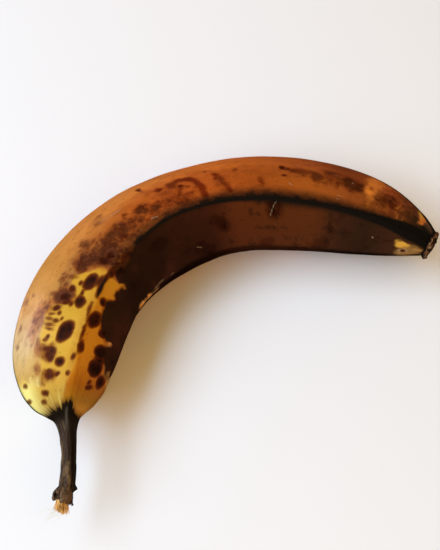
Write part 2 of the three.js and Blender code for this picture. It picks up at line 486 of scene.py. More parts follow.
CREST_LINES = (
    CrestLine(
        (
            (108, 22), (118, 23.4), (142, 23), (158, 22), (230, 22), (236, 21), (244, 18.5),
            (250, 17), (254, 13.5), (258, 9.5),
        ),
        (
            (80, -2.6), (83, 0.2), (86, 0.6), (92, 0.4), (98, -0.9), (108, -0.3), (116, 0.4),
            (126, 0.6), (142, 0.6), (165, 0.7), (190, 0.9), (214, 1.1), (228, 1.4), (238, 2.1),
            (244, 2.9), (250, 3.8), (254, 4), (261, 3.8),
        ),
    ),
    CrestLine(
        ((0, -80),),
        ((36, 0.6), (48, 0.9), (60, 0.2), (80, -0.6), (180, -0.2), (205, 0.7), (258, 1.8)),
    ),
    CrestLine(((0, 78),), ((50, -1), (80, -0.3), (120, -0.6), (170, -1.6), (244, -1.6), (258, 0.6))),
    CrestLine(((0, 150),), ((44, -0.6), (70, 0.3), (150, 0.8), (235, 0.9), (258, 2))),
    CrestLine(((0, -150),), ((44, -0.6), (70, 0.2), (150, 0.7), (235, 0.8), (258, 2))),
)

# How far the painted shade beside the top ridge reaches above and below it, and its strength.
SHOULDER_ABOVE: Pairs = ((104, 6), (150, 6.8), (168, 8.6), (204, 8.6), (226, 6.4), (250, 5.4))
SHOULDER_BELOW: Pairs = ((112, 6), (122, 1.5), (170, 1.6), (190, 5), (215, 4), (240, 3))
SHOULDER_STRENGTH: Pairs = ((97, 0), (102, 0.55), (112, 0.66), (122, 0.82), (140, 0.88), (156, 1))

# Sides of the fruit, as the angles over which each fades in and out again.
UPPER_SIDE: Pairs = ((-56, -14), (160, 130))
# On the underside the dark skin is darkened further with painted shade.
UNDER_SIDE: Pairs = ((70, 96), (150, 125))

# Where the stalk's dark skin ends, as a distance along the spine at angles round it.
STALK_EDGE: Pairs = (
    (-180, 36), (-50, 36.6), (-20, 37), (0, 37.3), (20, 38.6), (24, 38.8), (30, 36.4), (40, 35),
    (60, 33.8), (80, 33.2), (130, 35),
)

# Paler brown patches on the stalk's dark skin, and a painted highlight in a long strip down its left
# edge.
STALK_WORN_AND_HIGHLIGHT = ovals(
    (5.8, -30, 1.3, 1.4, 0, 1), (5.9, 24, 1.3, 1.3, 0, 1), (2.2, 40, 2.4, 2.6, 0, 0.8),
    (8.8, 26, 2, 1.1, 0, 1), (11.6, -24, 1.4, 1.1, 0, 0.8), (13.4, -8, 2.4, 2.2, 0, 1),
    (10.6, 14, 1.4, 1.2, 0, 1), (15.6, 10, 1.4, 1, 0, 0.7), (9.4, -62, 2.4, 0.9, 0, 0.8),
    (20, -60, 7.5, 0.8, 0, 0.7), (31, -14, 3.4, 0.7, 0, 0.5),
)

# Painted highlights on the rim of the dried flower end.
REMNANT_HIGHLIGHTS = ovals(
    (261.4, -2, 0.5, 1.4, 0, 0.9), (261.4, 14, 0.5, 1.2, 0, 0.8), (261.9, 26, 0.6, 0.9, 0, 1),
    (262.2, 66, 0.7, 1.2, 0, 0.5),
)


@dataclass(frozen=True)
class Scatter:
    """Seeded spots over the sides that hold no listed ones."""

    count: int = 190
    seed: int = 11
    along: Span = (42.0, 252.0)
    around: Span = (88.0, 276.0)
    smallest: float = 0.5
    largest: float = 3.4
    lengthening: Span = (0.8, 1.6)
    turn: Span = (-25.0, 25.0)

    def spots(self) -> list[Spot]:
        """Draws the spots, small ones far more often than large ones.

        Returns:
            The spots, in the order in which they are drawn.
        """
        draw = random.Random(self.seed)
        spots = []
        for _ in range(self.count):
            size = self.smallest + (self.largest - self.smallest) * draw.random() ** 4
            along, around = draw.uniform(*self.along), draw.uniform(*self.around)
            long = size * draw.uniform(*self.lengthening)
            spots.append(Spot(along, around, long, size, draw.uniform(*self.turn)))
        return spots


@dataclass(frozen=True)
class ClusterDots:
    """Small seeded dots that fill each cluster's oval, densest and largest in its middle."""

    seed: int = 5
    per_area: float = 0.75
    size: Span = (0.35, 1.25)
    widening: Span = (0.9, 1.5)

    def spots(self) -> list[Spot]:
        """Draws the dots of every cluster.

        Returns:
            The dots, cluster by cluster.
        """
        draw = random.Random(self.seed)
        dots = []
        for cluster in CLUSTERS:
            per_degree = float(FORM.per_degree(cluster.along))
            for _ in range(int(cluster.long * cluster.wide * self.per_area)):
                out, round_ = draw.random() ** 0.6, draw.uniform(0.0, 2.0 * math.pi)
                along = cluster.along + cluster.long * out * math.cos(round_)
                across = cluster.wide * out * math.sin(round_)
                long = draw.uniform(*self.size) * (1.25 - 0.6 * out)
                wide = long * draw.uniform(*self.widening)
                dots.append(Spot(along, cluster.around + across / per_degree, long, wide))
        return dots


# ---------- The marks as fields over the skin ----------

# The girths at which outlines are measured and the skin's noise is laid out, as radii.
MARK_RADIUS = 24.0
BAR_RADIUS = 23.0

# Widths over which the edges of marks fade, and the share of a cloud that has no fading.
SKIN_EDGE, BRUISE_EDGE, SPOT_EDGE, PALE_MARK_EDGE = 0.8, 0.6, 0.4, 0.25
CLOUD_CORE = 0.35

# How marks stray from their drawn outlines: the length of each wave, and how far it pushes.
STRAYS: Pairs = ((5.0, 1.5), (2.0, 0.6))

# One seed for straying along the fruit and one for straying round it, and the least radius
# at which a push round the fruit is turned into an angle.
STRAY_SEEDS = (11.0, 23.0)
SLIMMEST = 4.0


@dataclass(frozen=True)
class SkinFields:
    """Reads the listed marks at places on the skin.

    Each field rises through 0 at a mark's edge, by 1 for each edge width, so that a material
    can cut it crisply between the skin's vertices.
    """

    along: Values
    around: Values
    far: float = 4.0

    def across(self, angle: Values | float) -> Values:
        """Distances round the skin from an angle, positive towards the hollow side."""
        return wrapped(self.around - angle) * FORM.per_degree(self.along)

    def _off(self, spot: Spot) -> tuple[Values, Values]:
        """Distances along and round the skin from a spot's middle."""
        side = wrapped(self.around - spot.around) * FORM.per_degree(spot.along)
        return self.along - spot.along, side

    def spots(self, spots: Sequence[Spot], edge: float) -> Values:
        """How deep each place lies in the nearest of some spots.

        Args:
            spots: The ovals.
            edge: The edge width.

        Returns:
            The field, positive inside a spot.
        """
        deepest = np.full(self.along.shape, -self.far)
        for spot in spots:
            near = np.abs(self.along - spot.along) < max(spot.long, spot.wide) + self.far * edge
            out, side = SkinFields(self.along[near], self.around[near])._off(spot)
            cosine, sine = math.cos(math.radians(spot.turn)), math.sin(math.radians(spot.turn))
            long = (out * cosine + side * sine) / spot.long
            wide = (side * cosine - out * sine) / spot.wide
            depth = (1.0 - np.hypot(long, wide)) * min(spot.long, spot.wide) / edge
            deepest[near] = np.maximum(deepest[near], depth)
        return np.clip(deepest, -self.far, self.far)

    def clouds(self, clouds: Sequence[Spot]) -> Values:
        """How strongly each place is covered by some soft ovals, from 0 to 1.

        Args:
            clouds: The ovals, whose edges are soft.

        Returns:
            One share for each place.
        """
        cover = np.zeros(self.along.shape)
        for cloud in clouds:
            out, side = self._off(cloud)
            away = np.hypot(out / cloud.long, side / cloud.wide)
            cover = np.maximum(cover, cloud.strength * eased(away, 1.0, CLOUD_CORE))
        return cover

    def strokes(self, strokes: Sequence[Stroke], edge: float) -> Values:
        """How deep each place lies in the nearest of some strokes.

        Args:
            strokes: The strokes.
            edge: The width over which a stroke's edge fades.

        Returns:
            One depth for each place, above 0 inside a stroke.
        """
        deepest = np.full(self.along.shape, -self.far)
        for stroke in strokes:
            for start, end in zip(stroke.points, stroke.points[1:]):
                distance = self._to_segment(start, end)
                deepest = np.maximum(deepest, (stroke.half_width - distance) / edge)
        return np.clip(deepest, -self.far, self.far)

    def outline(self, outline: Pairs, edge: Values | float) -> Values:
        """How deep each place lies in a closed outline.

        Args:
            outline: The outline's (along, around) corners.
            edge: The edge width, or one at each place.

        Returns:
            The field, positive inside.
        """
        nearest = np.full(self.along.shape, np.inf)
        inside = np.zeros(self.along.shape, bool)
        turned = wrapped(self.around)
        for start, end in zip(outline, (*outline[1:], outline[0])):
            nearest = np.minimum(nearest, self._to_segment(start, end))
            crosses = (start[1] > turned) != (end[1] > turned)
            if start[1] != end[1]:
                at = start[0] + (turned - start[1]) / (end[1] - start[1]) * (end[0] - start[0])
                inside ^= crosses & (self.along < at)
        return np.clip(np.where(inside, nearest, -nearest) / edge, -self.far, self.far)

    def crests(self, edge: float) -> Values:
        """How deep each place lies in the nearest ridge's dark line.

        Args:
            edge: The width over which a line's edge fades.

        Returns:
            One depth for each place, above 0 inside a line.
        """
        depths = []
        for line in CREST_LINES:
            off = np.abs(self.across(read_at(line.around, self.along)))
            depths.append((read_at(line.half_widths, self.along) - off) / edge)
        return np.clip(np.max(depths, axis=0), -3.0 * self.far, self.far)

    def crest_distance(self) -> Values:
        """Distance round the skin to the nearest ridge."""
        return np.min([np.abs(self.across(angle)) for angle in FORM.ridges.angles], axis=0)

    def _to_segment(self, start: Span, end: Span) -> Values:
        """Distances to the straight line between two places, at the body's usual girth.

        Args:
            start: One end: along and around.
            end: The other end.

        Returns:
            One distance for each place, in millimetres.
        """
        per_degree = math.radians(MARK_RADIUS)
        ax, ay = start[0], start[1] * per_degree
        bx, by = end[0] - start[0], end[1] * per_degree - ay
        px, py = self.along - ax, wrapped(self.around) * per_degree - ay
        share = np.clip((px * bx + py * by) / (bx * bx + by * by), 0.0, 1.0)
        return np.hypot(px - share * bx, py - share * by)


def straightened(along: Values, around: Values, radius: float = BAR_RADIUS) -> Values:
    """Coordinates of the fruit as if it were a straight round bar, without a seam.

    Args:
        along: Distances along the spine.
        around: Angles round the spine.
        radius: The bar's radius.

    Returns:
        One row of x, y and z for each place.
    """
    turned = np.radians(around)
    return np.stack((along, radius * np.sin(turned), radius * np.cos(turned)), axis=-1)


@dataclass(frozen=True)
class Ripple:
    """Smooth noise: its height, the length of its waves along each axis, and its seed."""

    height: float
    size: tuple[float, float, float]
    seed: float

    def at(self, straight: Values) -> Values:
        """Heights at straightened coordinates, below and above 0."""
        scaled = straight / np.asarray(self.size) + self.seed
        return self.height * np.array([noise.noise(Vector(point)) for point in scaled])


def lobed(turned: Values, *lobes: tuple[float, int, Values | float]) -> Values:
    """Adds up even waves round the fruit, each given by its height, its count and its shift."""
    return sum(height * np.sin(count * turned + shift) for height, count, shift in lobes)


def strayed(fields: SkinFields, straight: Values, share: float) -> SkinFields:
    """Pushes places about a little, so that marks read at them have ragged edges.

    Args:
        fields: The places on the skin.
        straight: The same places, straightened.
        share: How much of the full push to use.

    Returns:
        The places to read marks at.
    """
    out, side = (
        share * sum(Ripple(push, (wave,) * 3, seed + wave).at(straight) for wave, push in STRAYS)
        for seed in STRAY_SEEDS
    )
    per_degree = np.radians(np.maximum(FORM.radius_at(fields.along), SLIMMEST))
    return SkinFields(fields.along + out, fields.around + side / per_degree)


# ---------- Materials ----------

Colour = tuple[float, float, float, float]


def paint(code: str) -> Colour:
    """A display colour such as "#c87828" as a linear colour for a shader.

    Args:
        code: The display colour.

    Returns:
        The linear colour with an alpha of 1.
    """
    shares = [int(code[at : at + 2], 16) / 255.0 for at in (1, 3, 5)]
    linear = [s / 12.92 if s <= 0.04045 else ((s + 0.055) / 1.055) ** 2.4 for s in shares]
    return (*linear, 1.0)


class Bench:
    """The node tree of one material, filled node by node."""

    def __init__(self, name: str) -> None:
        """Starts an empty material with that name.

        Args:
            name: The material's name.
        """
        self.material = bpy.data.materials.new(name)
        self.material.use_nodes = True
        self.tree = self.material.node_tree
        self.tree.nodes.clear()

    def node(
        self,
        kind: str,
        settings: Mapping[str, object] | None = None,
        inputs: Mapping[str | int, object] | None = None,
    ) -> bpy.types.Node:
        """Adds one node.

        Args:
            kind: The node's type.
            settings: Its options, which are set first. stops fills a colour ramp.
            inputs: The value or link of each socket, by name or by place.

        Returns:
            The new node.
        """
        node = self.tree.nodes.new(kind)
        for name, value in (settings or {}).items():
            if name == "stops":
                self._fill(node.color_ramp, value)
            else:
                setattr(node, name, value)
        for key, value in (inputs or {}).items():
            if isinstance(value, Flow):
                self.tree.links.new(value.socket, node.inputs[key])
            elif isinstance(value, Socket):
                self.tree.links.new(value, node.inputs[key])
            else:
                node.inputs[key].default_value = value
        return node

    @staticmethod
    def _fill(ramp: bpy.types.ColorRamp, stops: Sequence[tuple[float, Colour]]) -> None:
        """Gives a ramp these stops.

        Args:
            ramp: The ramp.
            stops: The place and the colour of each stop, in rising order.
        """
        while len(ramp.elements) > 1:
            ramp.elements.remove(ramp.elements[-1])
        ramp.elements[0].position, ramp.elements[0].color = stops[0]
        for position, colour in stops[1:]:
            ramp.elements.new(position).color = colour

    def field(self, name: str) -> "Flow":
        """A number that the piece stores at its vertices."""
        node = self.node("ShaderNodeAttribute", {"attribute_name": name})
        return Flow(self, node.outputs["Fac"])

    def object_place(self) -> Socket:
        """Places in the part's own frame, in metres."""
        return self.node("ShaderNodeTexCoord").outputs["Object"]

    def mottle(self, place: Socket, size: float, detail: float = 3.0) -> "Flow":
        """Noise about 0, with patches of about that size in the place's own unit.

        Args:
            place: The place on the surface.
            size: The patches' size.
            detail: How many finer layers it has.

        Returns:
            The noise, mostly between -0.3 and 0.3.
        """
        inputs = {"Vector": place, "Scale": 1.0 / size, "Detail": detail, "Roughness": 0.55}
        settings = {"noise_dimensions": "3D"}
        return Flow(self, self.node("ShaderNodeTexNoise", settings, inputs).outputs[0]) - 0.5

    def specks(self, place: Socket, size: float) -> "Flow":
        """Distance from seeded points about that size apart, from 0 to about 1.

        Args:
            place: The place on the surface.
            size: How far apart the points are.

        Returns:
            The distance to the nearest point.
        """
        inputs = {"Vector": place, "Scale": 1.0 / size, "Randomness": 1.0}
        node = self.node("ShaderNodeTexVoronoi", {"feature": "F1"}, inputs)
        return Flow(self, node.outputs["Distance"])

    def bump(self, height: "Flow", depth: float) -> Socket:
        """A normal that follows a height of 0 to 1, which stands for that depth in metres."""
        inputs = {"Height": height, "Distance": depth, "Strength": 1.0}
        return self.node("ShaderNodeBump", {}, inputs).outputs[0]

    def surface(self, inputs: Mapping[str, object]) -> bpy.types.Material:
        """Closes the material with one Principled shader.

        Args:
            inputs: The values or links of the shader's sockets, by name.

        Returns:
            The material.
        """
        shader = self.node("ShaderNodeBsdfPrincipled", {}, inputs)
        self.node("ShaderNodeOutputMaterial", {}, {"Surface": shader.outputs[0]})
        return self.material


@dataclass(frozen=True)
class Flow:
    """A number inside a material. Arithmetic on it adds the Math nodes."""

    bench: Bench
    socket: Socket

    def _math(self, operation: str, first: object, second: object) -> "Flow":
        """Adds one Math node."""
        node = self.bench.node("ShaderNodeMath", {"operation": operation}, {0: first, 1: second})
        return Flow(self.bench, node.outputs[0])

    def __add__(self, other: "Flow | float") -> "Flow":
        """This number plus another."""
        return self._math("ADD", self, other)

    __radd__ = __add__

    def __sub__(self, other: "Flow | float") -> "Flow":
        """This number less another."""
        return self._math("SUBTRACT", self, other)

    def __rsub__(self, other: float) -> "Flow":
        """A plain number less this one."""
        return self._math("SUBTRACT", other, self)

    def __mul__(self, other: "Flow | float") -> "Flow":
        """This number times another."""
        return self._math("MULTIPLY", self, other)

    __rmul__ = __mul__

    def __truediv__(self, other: "Flow | float") -> "Flow":
        """This number divided by another."""
        return self._math("DIVIDE", self, other)

    def most(self, other: "Flow | float") -> "Flow":
        """The larger of two numbers."""
        return self._math("MAXIMUM", self, other)

    def rise(self, low: float, high: float) -> "Flow":
        """Rises smoothly from 0 at low to 1 at high, or falls if high is the lower one.

        Args:
            low: The number that gives 0.
            high: The number that gives 1.

        Returns:
            The share, from 0 to 1.
        """
        span = (low, high, 0.0, 1.0) if low < high else (high, low, 1.0, 0.0)
        names = ("From Min", "From Max", "To Min", "To Max")
        inputs = {"Value": self, **dict(zip(names, span))}
        settings = {"interpolation_type": "SMOOTHSTEP"}
        return Flow(self.bench, self.bench.node("ShaderNodeMapRange", settings, inputs).outputs[0])


class Coats:
    """The colour of a surface while coats are laid on it, one over another."""

    def __init__(self, bench: Bench, base: Socket | str) -> None:
        """Starts with the lowest coat."""
        self.bench = bench
        self.colour = base

    def lay(self, over: Socket | str, share: Flow, way: str = "MIX") -> None:
        """Lays one coat over those below.

        Args:
            over: The coat's colour, as a socket or a display colour.
            share: How much of it shows, from 0 to 1.
            way: The Mix node's blend type.
        """
        sides = [paint(side) if isinstance(side, str) else side for side in (self.colour, over)]
        settings = {"data_type": "RGBA", "blend_type": way, "clamp_factor": True}
        inputs = {0: share, 6: sides[0], 7: sides[1]}
        self.colour = self.bench.node("ShaderNodeMix", settings, inputs).outputs[2]


class SkinBench(Bench):
    """The skin's bench, with the noises and the masks that several of its coats share."""

    def __init__(self) -> None:
        """Starts the skin's material."""
        super().__init__("ripe_peel")
        place = self.node("ShaderNodeAttribute", {"attribute_name": "straight"}).outputs["Vector"]
        self.place = place
        self.along = Flow(self, self.node("ShaderNodeSeparateXYZ", {}, {0: place}).outputs[0])
        self.broad = self.mottle(place, 16.0, 4.0)
        self.medium = self.mottle(place, 4.0)
        self.fine = self.mottle(place, 1.1)
        self.streaks = self.mottle(self.stretched(0.1, 1.0), 1.7)
        self.is_dark = self.ragged("dark_side", 1.4, 1.2).rise(-0.9, 0.9)
        self.cloud = self.field("cloud")
        self.spotted = self.ragged("spot", 0.8, 0.8)
        self.crest = self.field("crest") + self.fine * 0.7 + self.streaks
        edge = self.field("stalk")
        self.neck = (edge + self.streaks * 4.0).rise(-1.9, -0.1)
        self.stalk = (edge + self.streaks * 5.0 + self.fine * 1.2).rise(-0.5, 0.4)

    def stretched(self, lengthwise: float, across: float) -> Socket:
        """The straightened coordinates, multiplied along the fruit and across it."""
        inputs = {0: self.place, 1: (lengthwise, across, across)}
        return self.node("ShaderNodeVectorMath", {"operation": "MULTIPLY"}, inputs).outputs[0]

    def ragged(self, name: str, medium: float, fine: float) -> Flow:
        """A field of the skin whose edges are roughened by so much of two noises."""
        return self.field(name) + self.medium * medium + self.fine * fine


Stops = tuple[tuple[float, str], ...]


@dataclass(frozen=True)
class PeelFinish:
    """Waxy ripe skin: amber turning to brown, with spots, bruises and black ridges.

    Each list of stops gives colours at distances along the fruit. Each span is a stretch of
    it over which something fades in, or out where it runs backwards.
    """

    # The paler stop at 60 is a painted sheen on the outer flank.
    flank: Stops = (
        (36, "#ceb055"), (44, "#e8d47c"), (50, "#c89a4c"), (60, "#cda76c"), (67, "#c4955a"),
        (75, "#cd8c3e"), (90, "#c27e30"), (105, "#cf8036"), (160, "#da7022"), (175, "#c9641c"),
        (205, "#ac521e"), (216, "#8a3f17"), (236, "#a04b1a"), (250, "#66361c"), (256, "#604636"),
        (260, "#2e1f16"),
    )
    upper: Stops = (
        (60, "#c0924a"), (90, "#a86a30"), (112, "#ad5c20"), (128, "#b75a1c"), (142, "#b0521a"),
        (163, "#b0521a"), (180, "#a14b16"), (203, "#a6541a"), (220, "#93481a"), (232, "#824216"),
        (240, "#723616"), (248, "#412511"), (256, "#1f1a14"),
    )
    hollow: Stops = (
        (44, "#3a1a0c"), (60, "#341c10"), (80, "#331d11"), (100, "#2a160b"), (120, "#2c150a"),
        (154, "#38180c"), (168, "#55260e"), (206, "#56280f"), (218, "#3c1f10"), (232, "#2f1b0f"),
        (246, "#402313"),
    )
    yellow_lit: Stops = (
        (36, "#a5803a"), (41, "#bc943c"), (46, "#cc9a3a"), (56, "#d0a036"), (66, "#d8a63e"),
        (75, "#ca992e"), (97, "#cc952c"),
    )
    yellow_shaded: Stops = (
        (34, "#c08228"), (38, "#a06c14"), (44, "#a9600f"), (51, "#c67a1b"), (60, "#ce8219"),
        (97, "#cc8a22"),
    )
    yellow_ridge_shade: str = "#b87a24"
    lemon: str = "#ecdc7e"
    yellow_streak: str = "#a57723"
    ridge_dark: str = "#1f130c"
    hollow_dark: str = "#1c0d07"
    hollow_red: str = "#54241a"
    glow: str = "#e0802c"
    stain: str = "#a0743c"
    light_patch: str = "#d8a03c"
    rosy_patch: str = "#f0a454"
    cloud: str = "#8c687c"
    cloud_edge: str = "#ffdcc4"
    bruise: str = "#985f50"
    bruise_dark: str = "#46211a"
    mottle: str = "#a98f7e"
    spot_rim: str = "#b8875c"
    spot: str = "#4e1c0a"
    spot_core: str = "#220e09"
    black: str = "#15110d"
    neck: str = "#5a3a12"
    neck_black: str = "#171009"
    neck_ridge_highlight: str = "#4a463a"
    stalk: str = "#33241a"
    stalk_grain: str = "#665140"
    stalk_shaded: str = "#1b1813"
    scurf_and_highlight: str = "#7c6040"
    pale: str = "#ae9270"
    sheen: str = "#ffcba0"
    first: float = 36.0
    last: float = 266.0
    rippled: Span = (212.0, 234.0)
    glowing: Span = (252.0, 246.0)
    lemon_side: Span = (50.0, 45.0)
    lemon_streaks: Span = (48.0, 40.0)
    ring_shade: Span = (52.0, 42.0)
    yellow_streaks: Span = (62.0, 44.0)
    dark_rim: Span = (100.0, 92.0)
    reddish: Span = (180.0, 150.0)
    rosy: Span = (200.0, 120.0)
    ruddy: Span = (104.0, 90.0)
    bark_end: Span = (15.0, 10.0)
    scurfy: Span = (20.0, 10.0)
    blackened: Span = (30.0, 35.0)
    ridge_highlight_starts: Span = (27.0, 32.0)
    ridge_highlight_ends: Span = (37.4, 35.6)

    def _ramp(self, bench: SkinBench, along: Flow, stops: Stops) -> Socket:
        """Colours that change along the fruit.

        Args:
            bench: The skin's bench.
            along: The distance along the fruit.
            stops: The distance and the colour of each stop.

        Returns:
            The colour at each distance.
        """
        length = self.last - self.first
        painted = [((at - self.first) / length, paint(code)) for at, code in stops]
        inputs = {0: (along - self.first) / length}
        return bench.node("ShaderNodeValToRGB", {"stops": painted}, inputs).outputs[0]

    def _ripe(self, bench: SkinBench) -> Coats:
        """Ripe skin: orange brown, darker above the top ridge, and rippled near the tip.

        Args:
            bench: The skin's bench.

        Returns:
            The coats of ripe skin.
        """
        along, broad, medium, fine = bench.along, bench.broad, bench.medium, bench.fine
        drifted = along + broad * 14.0 + medium * 5.0
        skin = Coats(bench, self._ramp(bench, drifted, self.flank))
        is_upper = (bench.field("upper") + medium * 0.5 + broad * 0.5).rise(0.0, 1.0)
        skin.lay(self._ramp(bench, drifted, self.upper), is_upper)
        uneven = (broad + medium * 0.8 + fine * 0.5).rise(-0.1, 0.4)
        skin.lay(self.mottle, uneven * 0.4, "MULTIPLY")
        ripples = bench.mottle(bench.stretched(1.0, 0.22), 3.0) + fine * 0.3
        rippled = ripples * along.rise(*self.rippled)
        skin.lay(self.ridge_dark, rippled.rise(0.02, 0.26) * 0.5)
        skin.lay(self.glow, rippled.rise(-0.02, -0.26) * along.rise(*self.glowing) * 0.4)
        return skin

    def _yellow(self, bench: SkinBench) -> Socket:
        """Yellow skin behind the stalk: lit above the ridge, shaded below it, and streaked.

        A painted shade darkens it on the lit side as it nears the ridge.

        Args:
            bench: The skin's bench.

        Returns:
            Its colour.
        """
        along, medium, streaks = bench.along, bench.medium, bench.streaks
        below_ridge = bench.field("below_ridge")
        skin = Coats(bench, self._ramp(bench, along + medium * 5.0, self.yellow_lit))
        skin.lay(self.lemon, bench.field("outer_side") * along.rise(*self.lemon_side))
        # Painted shade on the lit yellow as it nears the ridge.
        skin.lay(self.yellow_ridge_shade, below_ridge.rise(-4.6, -1.2) * (0.6 + medium * 1.2))
        skin.lay(self.lemon, streaks.rise(-0.05, -0.3) * along.rise(*self.lemon_streaks) * 0.6)
        below = (below_ridge + along.rise(*self.ring_shade) * 2.8).rise(-1.0, 1.0)
        skin.lay(self._ramp(bench, along, self.yellow_shaded), below)
        streaky = (streaks + bench.fine * 0.3).rise(0.05, 0.35) * along.rise(*self.yellow_streaks)
        skin.lay(self.yellow_streak, streaky * 0.6)
        return skin.colour

    def _dark_side(self, bench: SkinBench) -> Socket:
        """Near-black skin on the hollow side, reddish towards the stalk.

        On the underside it is darkened further with painted shade.

        Args:
            bench: The skin's bench.

        Returns:
            Its colour.
        """
        along, broad, medium = bench.along, bench.broad, bench.medium
        skin = Coats(bench, self._ramp(bench, along + medium * 12.0, self.hollow))
        reddish = (medium * 0.8 - broad * 1.2).rise(0.0, 0.3) * along.rise(*self.reddish)
        skin.lay(self.hollow_red, reddish * 0.45)
        # Random dark patches, and painted shade on the underside.
        patches_and_shade = (medium * 1.4 + broad).rise(0.05, 0.4).most(bench.field("under"))
        skin.lay(self.hollow_dark, patches_and_shade * 0.55)
        return skin.colour

    def _stained(self, bench: SkinBench, skin: Coats) -> None:
        """Lays on the glow, the stains and the peel that stayed light.

        Args:
            bench: The skin's bench.
            skin: The coats laid so far.
        """
        medium, fine = bench.medium, bench.fine
        unevenly = 0.86 + medium * 2.0 + fine * 1.2
        skin.lay(self.glow, bench.field("glow") * unevenly)
        skin.lay(self.stain, bench.field("stain") * unevenly)
        patch = Coats(bench, self.light_patch)
        patch.lay(self.rosy_patch, bench.along.rise(*self.rosy))
        skin.lay(patch.colour, bench.ragged("light_patch", 2.0, 1.0).rise(-0.8, 1.4))

    def _bruised(self, bench: SkinBench, skin: Coats) -> None:
        """Lays on the clouds of bruising and the single bruises.

        Args:
            bench: The skin's bench.
            skin: The coats laid so far.
        """
        medium, fine, cloud = bench.medium, bench.fine, bench.cloud
        ruddy = cloud.rise(0.0, 0.5) * bench.along.rise(*self.ruddy)
        skin.lay(self.cloud_edge, ruddy, "MULTIPLY")
        skin.lay(self.cloud, cloud * (0.85 + medium * 1.6 + fine * 1.4), "MULTIPLY")
        bruised = bench.ragged("bruise", 1.4, 1.2).rise(-1.6, 1.7)
        single = bruised * (0.9 - 0.45 * bench.is_dark) * (1.0 - cloud * 0.8)
        skin.lay(self.bruise, single, "MULTIPLY")
        blotchy = (cloud * 1.3 + medium * 3.2 + fine * 2.4).rise(0.9, 2.1) * 0.5
        blotchy = blotchy.most(bruised * cloud.rise(0.3, 1.0) * 0.75)
        skin.lay(self.bruise_dark, blotchy, "DARKEN")

    def _spotted(self, bench: SkinBench, skin: Coats) -> None:
        """Lays on the dark spots and the ridges' dark lines.

        Args:
            bench: The skin's bench.
            skin: The coats laid so far.
        """
        spotted, crest = bench.spotted, bench.crest
        skin.lay(self.spot_rim, spotted.rise(-2.0, 0.0) * (0.9 - 0.9 * bench.is_dark), "MULTIPLY")
        skin.lay(self.spot, spotted.rise(-1.5, 1.2) * 0.97, "DARKEN")
        skin.lay(self.spot_core, spotted.rise(0.6, 3.6) * (0.8 + bench.medium * 2.0), "DARKEN")
        skin.lay(self.ridge_dark, crest.rise(-3.5, 0.0) * 0.3)
        skin.lay(self.black, crest.rise(-1.0, 0.9) * 0.97)

    def _bark(self, bench: SkinBench) -> Socket:
        """The stalk's dried skin: grained, scurfy near the break, and black at the neck.

        Its side turned from the light is darkened with painted shade, and painted highlights
        run along the neck's ridge and down its left edge.

        Args:
            bench: The skin's bench.

        Returns:
            Its colour.
        """
        along, medium, fine, streaks = bench.along, bench.medium, bench.fine, bench.streaks
        bark = Coats(bench, self.stalk)
        bark.lay(self.stalk_grain, (streaks + fine * 0.6).rise(-0.02, 0.3) * 0.8)
        turned = bench.field("below_ridge") - along.rise(*self.bark_end) * 1.2
        # Painted shade on the side of the stalk turned from the light.
        bark.lay(self.stalk_shaded, turned.rise(-1.4, 0.8) * 0.85)
        scurfy = (fine + medium * 0.5).rise(0.0, 0.25) * along.rise(*self.scurfy)
        # Scurf and paler patches, and a painted highlight down the stalk's left edge.
        wear_and_highlight = (scurfy * 0.7).most(bench.field("stalk_worn_and_highlight") * (0.75 + fine * 4.0 + medium * 2.0))
        bark.lay(self.scurf_and_highlight, wear_and_highlight * (1.0 - turned.rise(0.2, 1.6)))
        bark.lay(self.neck_black, along.rise(*self.blackened) * 0.9)
        # A painted highlight along the ridge at the neck.
        ridge_highlight = turned.rise(-2.2, -1.2) * turned.rise(-0.3, -1.0) * along.rise(*self.ridge_highlight_starts)
        bark.lay(self.neck_ridge_highlight, ridge_highlight * along.rise(*self.ridge_highlight_ends) * 0.8)
        return bark.colour

    def make(self) -> bpy.types.Material:
        """Builds the material.

        Returns:
            The finished skin material.
        """
        bench = SkinBench()
        medium, fine, streaks, stalk = bench.medium, bench.fine, bench.streaks, bench.stalk
        skin = self._ripe(bench)
        skin.lay(self._yellow(bench), bench.ragged("yellow", 1.4, 1.2).rise(-0.9, 0.9))
        nearly_dark = bench.field("dark_side").rise(-2.6, -0.4) * bench.along.rise(*self.dark_rim)
        skin.lay(self.spot_rim, nearly_dark * 0.8, "MULTIPLY")
        skin.lay(self._dark_side(bench), bench.is_dark)
        # Painted shade beside the top ridge.
        skin.lay(self.ridge_dark, bench.field("ridge_shade") * (0.96 + medium * 0.5 + fine * 0.3))
        self._stained(bench, skin)
        self._bruised(bench, skin)
        self._spotted(bench, skin)
        skin.lay(self.neck, bench.neck * 0.6)
        skin.lay(self._bark(bench), stalk)
        # Pale scratches, and painted highlights, in one colour.
        skin.lay(self.pale, bench.field("pale").rise(-1.0, 1.0) * 0.55)
        lenticels = bench.specks(bench.stretched(0.7, 1.0), 2.6).rise(0.16, 0.07)
        skin.lay(self.mottle, lenticels * (1.0 - stalk) * 0.6, "MULTIPLY")

        crest = bench.crest.rise(-0.9, 0.8)
        darkness = bench.spotted.rise(-0.3, 0.9).most(crest)
        pores = bench.mottle(bench.stretched(0.6, 1.0), 0.5, 2.0)
        height = fine * 0.35 + streaks * 0.4 + medium * 0.2
        height = height + pores * (0.2 + 0.5 * stalk) + streaks * stalk
        return bench.surface(
            {
                "Base Color": skin.colour,
                "Roughness": 0.44 + medium * 0.16 + fine * 0.12 - darkness * 0.05 + stalk * 0.12,
                "Normal": bench.bump(height, 0.14 * MM),
                "Specular IOR Level": 0.16,
                "Specular Tint": paint(self.sheen),
                "Coat Weight": crest * 0.3,
                "Coat Roughness": 0.3,
            }
        )


